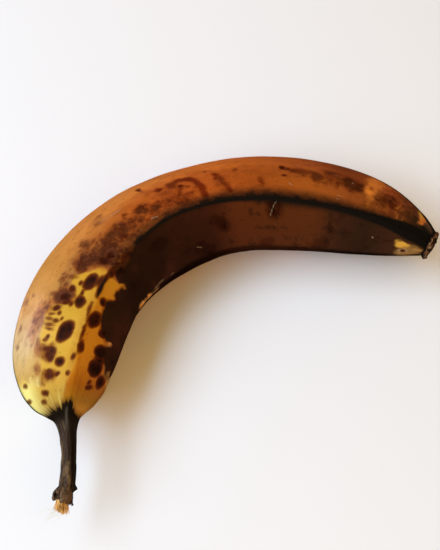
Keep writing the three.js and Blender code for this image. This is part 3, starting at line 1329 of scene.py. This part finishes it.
@dataclass(frozen=True)
class FibreFinish:
    """Dry fibre, from pale to brown, with cream wisps."""

    pale: str = "#f0b96c"
    brown: str = "#8f5a1e"
    cream: str = "#eadfc4"

    def make(self) -> bpy.types.Material:
        """Builds the material.

        Returns:
            The material.
        """
        bench = Bench("dry_fibre")
        place = bench.object_place()
        patches = bench.mottle(place, 1.6 * MM)
        shade = bench.field("shade")
        fibre = Coats(bench, self.pale)
        fibre.lay(self.brown, (shade + patches * 2.0).rise(0.1, 1.1))
        fibre.lay(self.cream, shade.rise(1.4, 1.8))
        return bench.surface(
            {
                "Base Color": fibre.colour,
                "Roughness": 0.72 + patches * 0.2,
                "Normal": bench.bump(bench.mottle(place, 0.25 * MM, 2.0), 0.08 * MM),
                "Specular IOR Level": 0.25,
                "Subsurface Weight": 0.12,
                "Subsurface Radius": (2.0 * MM, 1.0 * MM, 0.5 * MM),
            }
        )


@dataclass(frozen=True)
class DriedFinish:
    """Dead dried skin, as on the flower end and the stalk's torn bark."""

    name: str
    dark: str
    light: str
    wear_and_highlight: str
    deep: str = "#0f0a07"

    def make(self) -> bpy.types.Material:
        """Builds the material.

        Returns:
            The material.
        """
        bench = Bench(self.name)
        place = bench.object_place()
        patches = bench.mottle(place, 1.8 * MM, 4.0)
        grain = bench.mottle(place, 0.5 * MM)
        sunk, wear_and_highlight = bench.field("sunk"), bench.field("wear_and_highlight")
        skin = Coats(bench, self.dark)
        skin.lay(self.light, (patches + grain * 0.5 + wear_and_highlight * 0.12 - sunk * 0.25).rise(-0.14, 0.16))
        # The paler colour marks real wear on the bark and painted highlights on the flower end.
        rubbed_and_highlight = (grain.rise(0.06, 0.3) * 0.5).most(wear_and_highlight * (0.6 + grain * 2.0))
        skin.lay(self.wear_and_highlight, rubbed_and_highlight * (1.0 - sunk))
        # Painted shade in the crevices of the crumpled flower end, and its darker root.
        skin.lay(self.deep, sunk * 0.9)
        return bench.surface(
            {
                "Base Color": skin.colour,
                "Roughness": 0.62 + grain * 0.3,
                "Normal": bench.bump(patches * 0.5 + grain * 0.6, 0.3 * MM),
                "Specular IOR Level": 0.35,
            }
        )


BARK = DriedFinish("torn_bark", "#2b1a10", "#6a4a32", "#8a6a4c")
REMNANT = DriedFinish("dried_flower_end", "#2a180f", "#704426", "#a87a48")


# ---------- Pieces ----------


def finished_piece(
    name: str, mesh: BMesh, finish: bpy.types.Material
) -> Piece:
    """Turns a mesh in metres into a piece that rides on the fruit's body.

    Args:
        name: The piece's name.
        mesh: Its mesh, which is freed.
        finish: Its material.

    Returns:
        The piece.
    """
    bmesh.ops.recalc_face_normals(mesh, faces=mesh.faces)
    for face in mesh.faces:
        face.smooth = True
    data = bpy.data.meshes.new(name)
    mesh.to_mesh(data)
    mesh.free()
    data.materials.append(finish)
    piece = bpy.data.objects.new(name, data)
    bpy.context.scene.collection.objects.link(piece)
    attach(piece, ROOT)
    triangles = sum(len(polygon.vertices) - 2 for polygon in data.polygons)
    log.info("%s: %d triangles", name, triangles)
    return piece


def sheet_places(mesh: BMesh, rows: int, columns: int) -> tuple[Values, Values]:
    """Adds a flat sheet of quads to be wrapped into a shape.

    Args:
        mesh: The mesh to start.
        rows: Steps along the shape.
        columns: Steps round it.

    Returns:
        Each vertex's row and column, counted from 0, in the order of the mesh's vertices.
    """
    bmesh.ops.create_grid(mesh, x_segments=rows, y_segments=columns, size=0.5)
    flat = np.array([vert.co[:2] for vert in mesh.verts]) + 0.5
    steps = np.rint(flat * (rows, columns)).astype(int)
    return steps[:, 0], steps[:, 1]


def wrap_sheet(mesh: BMesh, points: Values, fields: Mapping[str, Values]) -> None:
    """Wraps a sheet into its shape, closes its seam and poles, and stores fields on it.

    Args:
        mesh: The sheet.
        points: Where each vertex goes, in metres.
        fields: One number or vector for each vertex, by the field's name.
    """
    for name, values in fields.items():
        kinds = mesh.verts.layers
        layer = (kinds.float if values.ndim == 1 else kinds.float_vector).new(name)
        for vert, value in zip(mesh.verts, values.tolist()):
            vert[layer] = value
    for vert, point in zip(mesh.verts, points):
        vert.co = point
    bmesh.ops.remove_doubles(mesh, verts=mesh.verts, dist=CLOSED_UNDER)


@dataclass(frozen=True)
class Peel:
    """The skin over body and stalk, from the torn collar to the flower end.

    Each span is a stretch along, round or across the fruit over which something fades in,
    or out where it runs backwards.
    """

    rows: int = 450
    swell: Ripple = Ripple(0.3, (26, 17, 17), 3.1)
    dents: Ripple = Ripple(0.12, (9, 6, 6), 8.7)
    wrinkles: Ripple = Ripple(0.26, (17, 2.1, 2.1), 1.9)
    creases: Ripple = Ripple(0.13, (8, 1.1, 1.1), 6.3)
    stalk_ripple: Ripple = Ripple(0.22, (4, 5, 5), 4.4)
    tear_ripple: Ripple = Ripple(0.8, (1.8, 4.5, 4.5), 9.2)
    hanging: Ripple = Ripple(0.9, (60, 5, 5), 6.9)
    bead: float = 0.3
    bead_width: float = 1.3
    sunken: float = 0.14
    furrow: float = 0.3
    tear: float = 0.3
    barb: float = 1.15
    barb_angle: float = 88.0
    barb_width: float = 30.0
    body: Span = (36.0, 60.0)
    stalk: Span = (38.0, 30.0)
    neck: Span = (62.0, 38.0)
    above_neck: Span = (33.0, 40.0)
    tip: Span = (222.0, 256.0)
    collar: Span = (8.6, 5.2)
    barb_reach: Pairs = ((8.4, 6.6), (5.5, 6.4))
    rim: Span = (7.0, 2.6)
    dark_edge: float = 0.7
    softest_dark_edge: float = 4.0
    dark_edge_softens: Span = (95.0, 120.0)
    beside_top_ridge: Span = (3.0, 9.0)
    dark_edge_blurs: Pairs = ((96.0, 100.0), (126.0, 108.0))
    ridge_width: float = 4.0
    facing_up: Span = (150.0, 120.0)
    outer_angle: float = -20.0
    outer_side: Span = (-2.0, -14.0)
    stalk_width: float = 6.0

    def _relief(self, fields: SkinFields, straight: Values, marks: dict[str, Values]) -> Values:
        """Height of the skin over its plain form.

        Args:
            fields: The places on the skin.
            straight: The same places, straightened.
            marks: The fields of the marks.

        Returns:
            One height for each place.
        """
        along, around = fields.along, np.radians(fields.around)
        on_body = eased(along, *self.body)
        bead = np.exp(-((fields.crest_distance() / self.bead_width) ** 2))
        height = on_body * (self.swell.at(straight) + self.dents.at(straight) + self.bead * bead)
        at_ends = eased(along, *self.neck) + eased(along, *self.tip)
        at_ends *= eased(along, *self.above_neck)
        height += at_ends * (self.wrinkles.at(straight) + self.creases.at(straight))
        height -= self.sunken * eased(marks["spot"], -1.0, 1.5)
        height -= 0.5 * self.sunken * eased(marks["bruise"], -1.0, 2.0)
        grooves = lobed(around, (0.6, 5, 0.05 * along), (0.4, 11, 1.3))
        furrowed = self.furrow * grooves + self.stalk_ripple.at(straight)
        height += eased(along, *self.stalk) * furrowed
        lumps = lobed(around, (0.5, 2, 2.4), (0.4, 5, 0.6)) + self.tear_ripple.at(straight)
        height += eased(along, *self.collar) * self.tear * lumps
        beside = np.exp(-((wrapped(fields.around - self.barb_angle) / self.barb_width) ** 2))
        height += self.barb * beside * faded(along, *self.barb_reach)
        return height - FORM.lean_at(along) * np.sin(around)

    def _marks(self, fields: SkinFields, straight: Values) -> dict[str, Values]:
        """Every field that the material and the relief read.

        Args:
            fields: The places on the skin.
            straight: The same places, straightened.

        Returns:
            One value for each place, by the field's name.
        """
        along, around = fields.along, wrapped(fields.around)
        ragged, rounder = strayed(fields, straight, 1.0), strayed(fields, straight, 0.4)
        scattered = Scatter().spots()
        above = fields.across(FORM.ridges.top)
        softened = self.softest_dark_edge * eased(along, *self.dark_edge_softens)
        dark_edge = self.dark_edge + softened * eased(np.abs(above), *self.beside_top_ridge)
        dark_edge += faded(along, *self.dark_edge_blurs)
        # Painted shade beside the top ridge, above and below it.
        above_ridge = eased(-above, read_at(SHOULDER_ABOVE, along), 1.0)
        below_ridge = eased(above, read_at(SHOULDER_BELOW, along), 0.2)
        ridge_shade = np.where(above < 0.0, above_ridge, below_ridge)
        bruises = (*BRUISES, *ClusterDots().spots(), *scattered[1::2])
        bruised = ragged.spots(bruises, BRUISE_EDGE)
        to_stalk = read_at(STALK_EDGE, around) - along
        return {
            "upper": faded(around, *UPPER_SIDE),
            "yellow": ragged.outline(YELLOW_SKIN, SKIN_EDGE),
            "dark_side": ragged.outline(DARK_SIDE, dark_edge),
            "ridge_shade": ridge_shade * read_at(SHOULDER_STRENGTH, along),
            "spot": rounder.spots((*DARK_SPOTS, *scattered[::2]), SPOT_EDGE),
            "bruise": np.maximum(bruised, rounder.strokes(BRUISE_STROKES, BRUISE_EDGE)),
            "cloud": ragged.clouds(CLOUDS),
            "glow": ragged.clouds(GLOWS),
            "stain": ragged.clouds(STAINS),
            "light_patch": ragged.spots(LIGHT_PATCHES, SKIN_EDGE),
            "stalk_worn_and_highlight": fields.clouds(STALK_WORN_AND_HIGHLIGHT),
            "pale": fields.strokes(PALE_MARKS, PALE_MARK_EDGE),
            "crest": fields.crests(SPOT_EDGE),
            "below_ridge": np.clip(above, -self.ridge_width, self.ridge_width)
            * eased(fields.around, *self.facing_up),
            # The underside, darkened with painted shade on the dark side.
            "under": faded(around, *UNDER_SIDE),
            "outer_side": eased(fields.across(self.outer_angle), *self.outer_side),
            "stalk": np.clip(to_stalk, -self.stalk_width, self.stalk_width),
        }

    def build(self) -> Piece:
        """Builds the skin.

        Returns:
            The piece, which stands for the solid.
        """
        stations = np.array(FORM.stations(self.rows))
        angles = FORM.ridges.columns()
        mesh = bmesh.new()
        row, column = sheet_places(mesh, len(stations) - 1, len(angles) - 1)
        along, radius = stations[row].T
        around = angles[column]
        straight = straightened(along, around)
        fields = SkinFields(along, around)
        marks = self._marks(fields, straight)
        relief = self._relief(fields, straight, marks) * eased(radius, 0.0, 2.5)
        reach = np.maximum(radius * FORM.ridges.reach(around) + relief, 0.0)
        hanging = 0.5 * np.sin(np.radians(around)) + self.hanging.at(straight)
        rim = along - eased(along, *self.rim) * hanging
        wrap_sheet(mesh, FORM.place(rim, reach, around), {**marks, "straight": straight})
        piece = finished_piece("peel", mesh, PeelFinish().make())
        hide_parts(SOLID)
        return piece


def stalk_end_frame(along: float) -> Matrix:
    """A frame at a place on the spine whose +Z points back out of the broken end.

    Args:
        along: The place, as a distance along the fruit.

    Returns:
        The frame, in millimetres.
    """
    x, y, heading = (float(value) for value in FORM.spine.at(np.array(along)))
    outward = Vector((-math.cos(heading), -math.sin(heading), 0.0))
    place = Matrix.Translation(Vector((x, y, FORM.spine.height)))
    return place @ outward.to_track_quat("Z", "Y").to_matrix().to_4x4()


@dataclass(frozen=True)
class Thread:
    """One thread of fibre: its root, its lean and curl, its length, thickness and shade.

    The shade is 0 for pale fibre, 1 for brown and 2 for the loose cream wisps.
    """

    root: Vector
    lean: float
    towards: float
    curl: float
    length: float
    thick: float
    shade: float

    def point(self, share: float) -> Vector:
        """A point on its middle line, share of the way to its tip.

        Args:
            share: How far along the thread the point is, from 0 to 1.

        Returns:
            The point, in the frame at the broken end.
        """
        lean = self.lean + self.curl * share
        reach = self.length * share
        out = Vector((math.cos(self.towards), math.sin(self.towards), 0.0))
        return self.root + out * reach * math.sin(lean) + Vector((0, 0, reach * math.cos(lean)))


@dataclass(frozen=True)
class TornFibres:
    """Pale fibres that stand out of the broken stalk, in a tuft with a few loose wisps.

    Leans and curls are in degrees. For the wisps' roots, out and height give the nearest
    one's place and how much further the furthest one's is.
    """

    tuft: int = 150
    wisps: int = 16
    centre: Span = (-1.05, 0.0)
    spread: Span = (1.95, 2.0)
    lean_spread: float = 2.5
    length: Span = (5.6, 7.4)
    curl: Span = (-10.0, 12.0)
    thick: Span = (0.16, 0.4)
    wisp_out: Span = (-1.2, 2.4)
    wisp_side: Span = (-1.0, 1.4)
    wisp_height: Span = (5.0, 2.4)
    wisp_turn: float = 0.25
    wisp_lean: Span = (62.0, 88.0)
    wisp_length: Span = (3.0, 8.0)
    wisp_curl: Span = (-24.0, 16.0)
    wisp_thick: Span = (0.07, 0.13)
    narrowing: float = 0.92
    tip: float = 0.35
    sides: int = 5
    steps: int = 6
    start: float = 4.4
    seed: int = 21

    def _tuft_thread(self, draw: random.Random) -> Thread:
        """Draws one thread of the tuft, which hardly leans.

        Args:
            draw: The seeded draws.

        Returns:
            The thread.
        """
        round_, out = draw.uniform(0.0, 2.0 * math.pi), draw.random() ** 0.6
        x, y = math.cos(round_) * out, math.sin(round_) * out
        root = Vector((self.centre[0] + self.spread[0] * x, self.centre[1] + self.spread[1] * y, 0.0))
        lean = math.radians(draw.gauss(0.0, self.lean_spread))
        length = draw.uniform(*self.length) * (1.0 + 0.12 * x)
        curl = math.radians(draw.uniform(*self.curl))
        shade = draw.uniform(-0.2, 0.5) + 0.35 * math.exp(-(((x - 0.2) / 0.4) ** 2))
        thick = draw.uniform(*self.thick)
        return Thread(root, lean, round_ + draw.uniform(-1, 1), curl, length, thick, shade)

    def _wisp(self, draw: random.Random) -> Thread:
        """Draws one loose wisp, which lies almost level towards the outer side.

        Args:
            draw: The seeded draws.

        Returns:
            The wisp.
        """
        out = draw.random()
        (nearest, across), (lowest, rise) = self.wisp_out, self.wisp_height
        x = self.centre[0] + nearest + across * out
        root = Vector((x, draw.uniform(*self.wisp_side), lowest + rise * out))
        lean = math.radians(draw.uniform(*self.wisp_lean))
        towards = draw.gauss(math.pi, self.wisp_turn)
        curl = math.radians(draw.uniform(*self.wisp_curl))
        length = draw.uniform(*self.wisp_length)
        return Thread(root, lean, towards, curl, length, draw.uniform(*self.wisp_thick), 2.0)

    def _grow(self, mesh: BMesh, thread: Thread) -> None:
        """Adds one thread in millimetres, step by step to its narrow tip.

        Args:
            mesh: The mesh to add to.
            thread: The thread.
        """
        shade = mesh.verts.layers.float["shade"]
        verts = bmesh.ops.create_circle(
            mesh, cap_ends=True, segments=self.sides, radius=thread.thick
        )["verts"]
        for vert in verts:
            vert[shade] = thread.shade
        middle = thread.point(0.0)
        bmesh.ops.translate(mesh, verts=verts, vec=middle)
        ring = verts[0].link_faces[0]
        for step in range(1, self.steps + 1):
            ring = bmesh.ops.extrude_discrete_faces(mesh, faces=[ring])["faces"][0]
            after = thread.point(step / self.steps)
            bmesh.ops.translate(mesh, verts=ring.verts, vec=after - middle)
            narrow = self.narrowing if step < self.steps else self.tip
            about = Matrix.Translation(-after)
            bmesh.ops.scale(mesh, vec=(narrow, narrow, 1.0), space=about, verts=ring.verts)
            middle = after

    def build(self) -> Piece:
        """Builds all the threads in one piece, the wisps last.

        Returns:
            The piece.
        """
        mesh = bmesh.new()
        mesh.verts.layers.float.new("shade")
        draw = random.Random(self.seed)
        threads = [self._tuft_thread(draw) for _ in range(self.tuft)]
        threads += [self._wisp(draw) for _ in range(self.wisps)]
        for thread in threads:
            self._grow(mesh, thread)
        world = Matrix.Scale(MM, 4) @ stalk_end_frame(self.start)
        bmesh.ops.transform(mesh, matrix=world, verts=mesh.verts)
        return finished_piece("torn_fibres", mesh, FibreFinish().make())


@dataclass(frozen=True)
class Flap:
    """One torn flap of skin: where it starts, its width and length, and how it bends.

    The angle is 0 on the hollow side and 90 on top. The flare is how far its tip stands out
    or in, the bulge is how far its middle does, and the point is how much it narrows. The
    wear share is how much of its dark surface has come off.
    """

    along: float
    angle: float
    width: float
    length: float
    reach: float
    flare: float
    bulge: float
    point: float
    wear_and_highlight: float = 0.0


@dataclass(frozen=True)
class TornBark:
    """Ragged flaps of dark skin round the broken end of the stalk.

    The crumples and the notches each give how many waves cross a flap, and a seed.
    """

    flaps: tuple[Flap, ...] = (
        Flap(6.4, 180, 3.4, 4.4, 3.5, 0.2, 0.5, 0.3),
        Flap(5.8, 150, 2.4, 4.0, 3.6, 0.1, 0.5, 0.5),
        Flap(6.2, 118, 2.2, 2.2, 3.4, 0.2, 0.4, 0.6),
        Flap(6.4, 74, 3.2, 5.6, 3.3, 0.1, 0.3, 0.15, 0.5),
        Flap(6.2, 30, 3.4, 5.6, 3.3, 0.1, 0.4, 0.15, 0.3),
        Flap(4.6, 4, 1.6, 4.2, 3.4, 0.4, 0.0, 0.7),
        Flap(6.0, 322, 2.8, 4.6, 3.4, 0.3, 0.3, 0.6),
        Flap(6.2, 280, 2.8, 4.0, 3.5, 0.2, 0.5, 0.5),
        Flap(6.0, 240, 3.0, 4.6, 3.6, 0.3, 0.6, 0.7),
        Flap(6.2, 208, 2.4, 4.0, 3.6, 0.5, 0.7, 0.6),
    )
    quads: tuple[int, int] = (8, 12)
    thickness: float = 0.35
    crumple: float = 0.4
    crumples: Span = (3.0, 7.3)
    firm_root: Span = (0.0, 0.4)
    raggedness: float = 0.22
    notches: Span = (9.0, 5.1)

    def _shape(self, mesh: BMesh, index: int, flap: Flap) -> None:
        """Adds one flap in millimetres, in the frame at the flap's start.

        Args:
            mesh: The mesh to add to.
            index: The flap's number, which seeds its crumpling.
            flap: The flap.
        """
        before = set(mesh.verts)
        wear_and_highlight = mesh.verts.layers.float["wear_and_highlight"]
        across, lengthwise = self.quads
        (crumples, crumple_seed), (notches, notch_seed) = self.crumples, self.notches
        bmesh.ops.create_grid(mesh, x_segments=across, y_segments=lengthwise, size=0.5)
        verts = [vert for vert in mesh.verts if vert not in before]
        for vert in verts:
            side, out = vert.co.x, vert.co.y + 0.5
            vert[wear_and_highlight] = flap.wear_and_highlight
            wobble = noise.noise(Vector((side * crumples, out * crumples, crumple_seed * index)))
            ragged = noise.noise(Vector((side * notches, 0.4, notch_seed * index)))
            arc = side * flap.width * (1.0 - out * flap.point)
            reach = flap.reach + flap.flare * out * out + flap.bulge * math.sin(math.pi * out)
            reach += self.crumple * wobble * eased(out, *self.firm_root)
            turn = math.radians(flap.angle) + arc / flap.reach
            length = flap.length * out * (1.0 + self.raggedness * ragged * out)
            leaning = FORM.lean_at(flap.along - length)
            vert.co = Vector((reach * math.cos(turn) - leaning, reach * math.sin(turn), length))
        bmesh.ops.transform(mesh, matrix=stalk_end_frame(flap.along), verts=verts)

    def build(self) -> Piece:
        """Builds the flaps in one piece.

        Returns:
            The piece.
        """
        mesh = bmesh.new()
        mesh.verts.layers.float.new("wear_and_highlight")
        for index, flap in enumerate(self.flaps):
            self._shape(mesh, index, flap)
        bmesh.ops.recalc_face_normals(mesh, faces=mesh.faces)
        bmesh.ops.solidify(mesh, geom=mesh.faces[:], thickness=self.thickness)
        bmesh.ops.transform(mesh, matrix=Matrix.Scale(MM, 4), verts=mesh.verts)
        return finished_piece("torn_bark", mesh, BARK.make())


@dataclass(frozen=True)
class FlowerRemnant:
    """The dried ring where the flower fell off, with shrivelled lobes round its rim.

    The rim is the stretch of radii over which the lobes set in. The hollows are the depths
    of crumpling over which painted shade darkens the crevices, and the root is the stretch
    along the fruit over which the ring darkens.
    """

    profile: Pairs = (
        (259.4, 4.8), (260.2, 5.9), (261, 6.4), (262, 6.5), (262.8, 6), (262.9, 5.2), (262.2, 4.3),
        (261.9, 3.4), (262.6, 2.4), (263.3, 1.4), (263.4, 0.3),
    )
    rows: int = 60
    columns: int = 150
    radius: float = 7.0
    lobe: float = 0.35
    crumple: Ripple = Ripple(0.6, (2.4, 2.2, 2.2), 5.5)
    fine_crumple: Ripple = Ripple(0.3, (1.1, 0.9, 0.9), 2.2)
    drift: Ripple = Ripple(0.8, (3.0, 2.0, 2.0), 7.7)
    slant: float = 0.6
    rim: Span = (3.0, 6.5)
    hollows: Span = (-0.09, -0.45)
    root: Span = (261.4, 260.6)

    def build(self) -> Piece:
        """Builds the ring and its rim.

        Returns:
            The piece.
        """
        ring = smooth_stations(self.profile, self.rows - 1)
        stations = np.array([(ring[0][0], 0.0), *ring, (ring[-1][0], 0.0)])
        angles = np.linspace(-180.0, 180.0, self.columns + 1)
        mesh = bmesh.new()
        row, column = sheet_places(mesh, len(stations) - 1, self.columns)
        along, radius = stations[row].T
        around = angles[column]
        turned = np.radians(around)
        straight = straightened(along, around, self.radius)
        lobes = self.lobe * lobed(turned, (1.0, 5, 1.1), (0.45, 11, 0.0))
        crumpled = self.crumple.at(straight) + self.fine_crumple.at(straight)
        at_rim = eased(radius, *self.rim)
        reach = radius + at_rim * (lobes + crumpled)
        pushed = along + at_rim * (self.drift.at(straight) + self.slant * np.sin(turned))
        # Painted shade in the crumpled hollows.
        sunk = eased(crumpled, *self.hollows)
        marks = {
            "sunk": np.maximum(sunk, eased(along, *self.root)),
            # Painted highlights on the rim.
            "wear_and_highlight": SkinFields(along, around).clouds(REMNANT_HIGHLIGHTS),
        }
        wrap_sheet(mesh, FORM.place(pushed, reach, around), marks)
        return finished_piece("flower_remnant", mesh, REMNANT.make())


# ---------- Studio ----------


def bearing(azimuth: float, elevation: float) -> Vector:
    """The direction from the fruit towards an angle round it and an angle up.

    Args:
        azimuth: The angle round the fruit, 0 at +X and 90 at +Y.
        elevation: The angle up.

    Returns:
        The direction, of length 1.
    """
    round_, level = math.radians(azimuth), math.radians(elevation)
    flat = math.cos(level)
    return Vector((flat * math.cos(round_), flat * math.sin(round_), math.sin(level)))


def hang(thing: Piece, place: Vector, away: Vector) -> None:
    """Hangs a light or a camera at a place, with its back towards a direction.

    Args:
        thing: The light or the camera, which faces its own -Z.
        place: Where it hangs, in metres.
        away: The direction that its back is turned to.
    """
    thing.location = place
    thing.rotation_mode = "QUATERNION"
    thing.rotation_quaternion = away.to_track_quat("Z", "Y")
    bpy.context.scene.collection.objects.link(thing)


@dataclass(frozen=True)
class Window:
    """A soft rectangular light: its bearing from the fruit, its size, strength and colour.

    A window may light surfaces, or only show as the sheen on them.
    """

    name: str
    azimuth: float
    elevation: float
    distance: float
    width: float
    height: float
    watts: float
    colour: str
    only_sheen: bool = False

    def build(self) -> None:
        """Makes the light and turns it towards the fruit."""
        light = bpy.data.lights.new(self.name, "AREA")
        light.shape = "RECTANGLE"
        light.size, light.size_y = self.width, self.height
        light.energy, light.color = self.watts, paint(self.colour)[:3]
        lamp = bpy.data.objects.new(self.name, light)
        lamp.visible_glossy = self.only_sheen
        lamp.visible_diffuse = not self.only_sheen
        away = bearing(self.azimuth, self.elevation)
        hang(lamp, away * self.distance, away)


@dataclass(frozen=True)
class Studio:
    """A plain pale floor under soft window light, and the camera that looks down on it."""

    floor_colour: str = "#f2eeee"
    floor_size: float = 6.0
    room_colour: str = "#ffd894"
    room_light: float = 0.475
    windows: tuple[Window, ...] = (
        Window("window", 172.0, 54.0, 1.6, 1.4, 0.9, 20.3, "#c0e0ff"),
        Window("front_window", 207.0, 36.0, 1.6, 1.2, 0.7, 15.8, "#c0e0ff"),
        Window("room_side", 315.0, 56.0, 1.6, 1.6, 1.6, 5.0, "#ffd894"),
        Window("low_window", 165.0, 3.0, 0.9, 0.36, 0.2, 8.0, "#e8ecff", only_sheen=True),
    )
    camera_azimuth: float = -90.0
    camera_elevation: float = 65.0
    camera_distance: float = 336.1
    camera_target: tuple[float, float, float] = (-7.53, 23.05, 20.5)
    lens: float = 50.0
    sensor: float = 36.0

    def _floor(self) -> None:
        """Lays the floor."""
        mesh = bmesh.new()
        bmesh.ops.create_grid(mesh, x_segments=1, y_segments=1, size=self.floor_size / 2.0)
        data = bpy.data.meshes.new("floor")
        mesh.to_mesh(data)
        mesh.free()
        bench = Bench("pale_floor")
        cloudy = bench.mottle(bench.object_place(), 0.6, 2.0)
        paper = Coats(bench, self.floor_colour)
        paper.lay("#ffffff", cloudy.rise(-0.2, 0.4) * 0.2)
        data.materials.append(bench.surface({"Base Color": paper.colour, "Roughness": 0.7}))
        floor = bpy.data.objects.new("floor", data)
        floor.visible_glossy = False
        bpy.context.scene.collection.objects.link(floor)

    def _room(self) -> None:
        """Fills the room with soft light."""
        world = bpy.data.worlds.new("room")
        world.use_nodes = True
        background = world.node_tree.nodes["Background"]
        background.inputs["Color"].default_value = paint(self.room_colour)
        background.inputs["Strength"].default_value = self.room_light
        world.cycles_visibility.glossy = False
        bpy.context.scene.world = world

    def _camera(self) -> None:
        """Sets up the camera."""
        data = bpy.data.cameras.new("camera")
        data.lens, data.sensor_width = self.lens, self.sensor
        camera = bpy.data.objects.new("camera", data)
        away = bearing(self.camera_azimuth, self.camera_elevation)
        hang(camera, (Vector(self.camera_target) + away * self.camera_distance) * MM, away)
        bpy.context.scene.camera = camera

    def build(self) -> None:
        """Sets the stage, the lights and the camera."""
        bpy.context.scene.view_settings.view_transform = "Standard"
        self._floor()
        self._room()
        self._camera()
        for window in self.windows:
            window.build()


def main() -> None:
    """Builds the fruit and its stage in order, and reports each piece."""
    logging.basicConfig(level=logging.INFO, format="%(name)s: %(message)s")
    Studio().build()
    for part in (Peel(), TornBark(), TornFibres(), FlowerRemnant()):
        piece = part.build()
        log.info("%s is in place", piece.name)


if __name__ == "__main__":
    main()
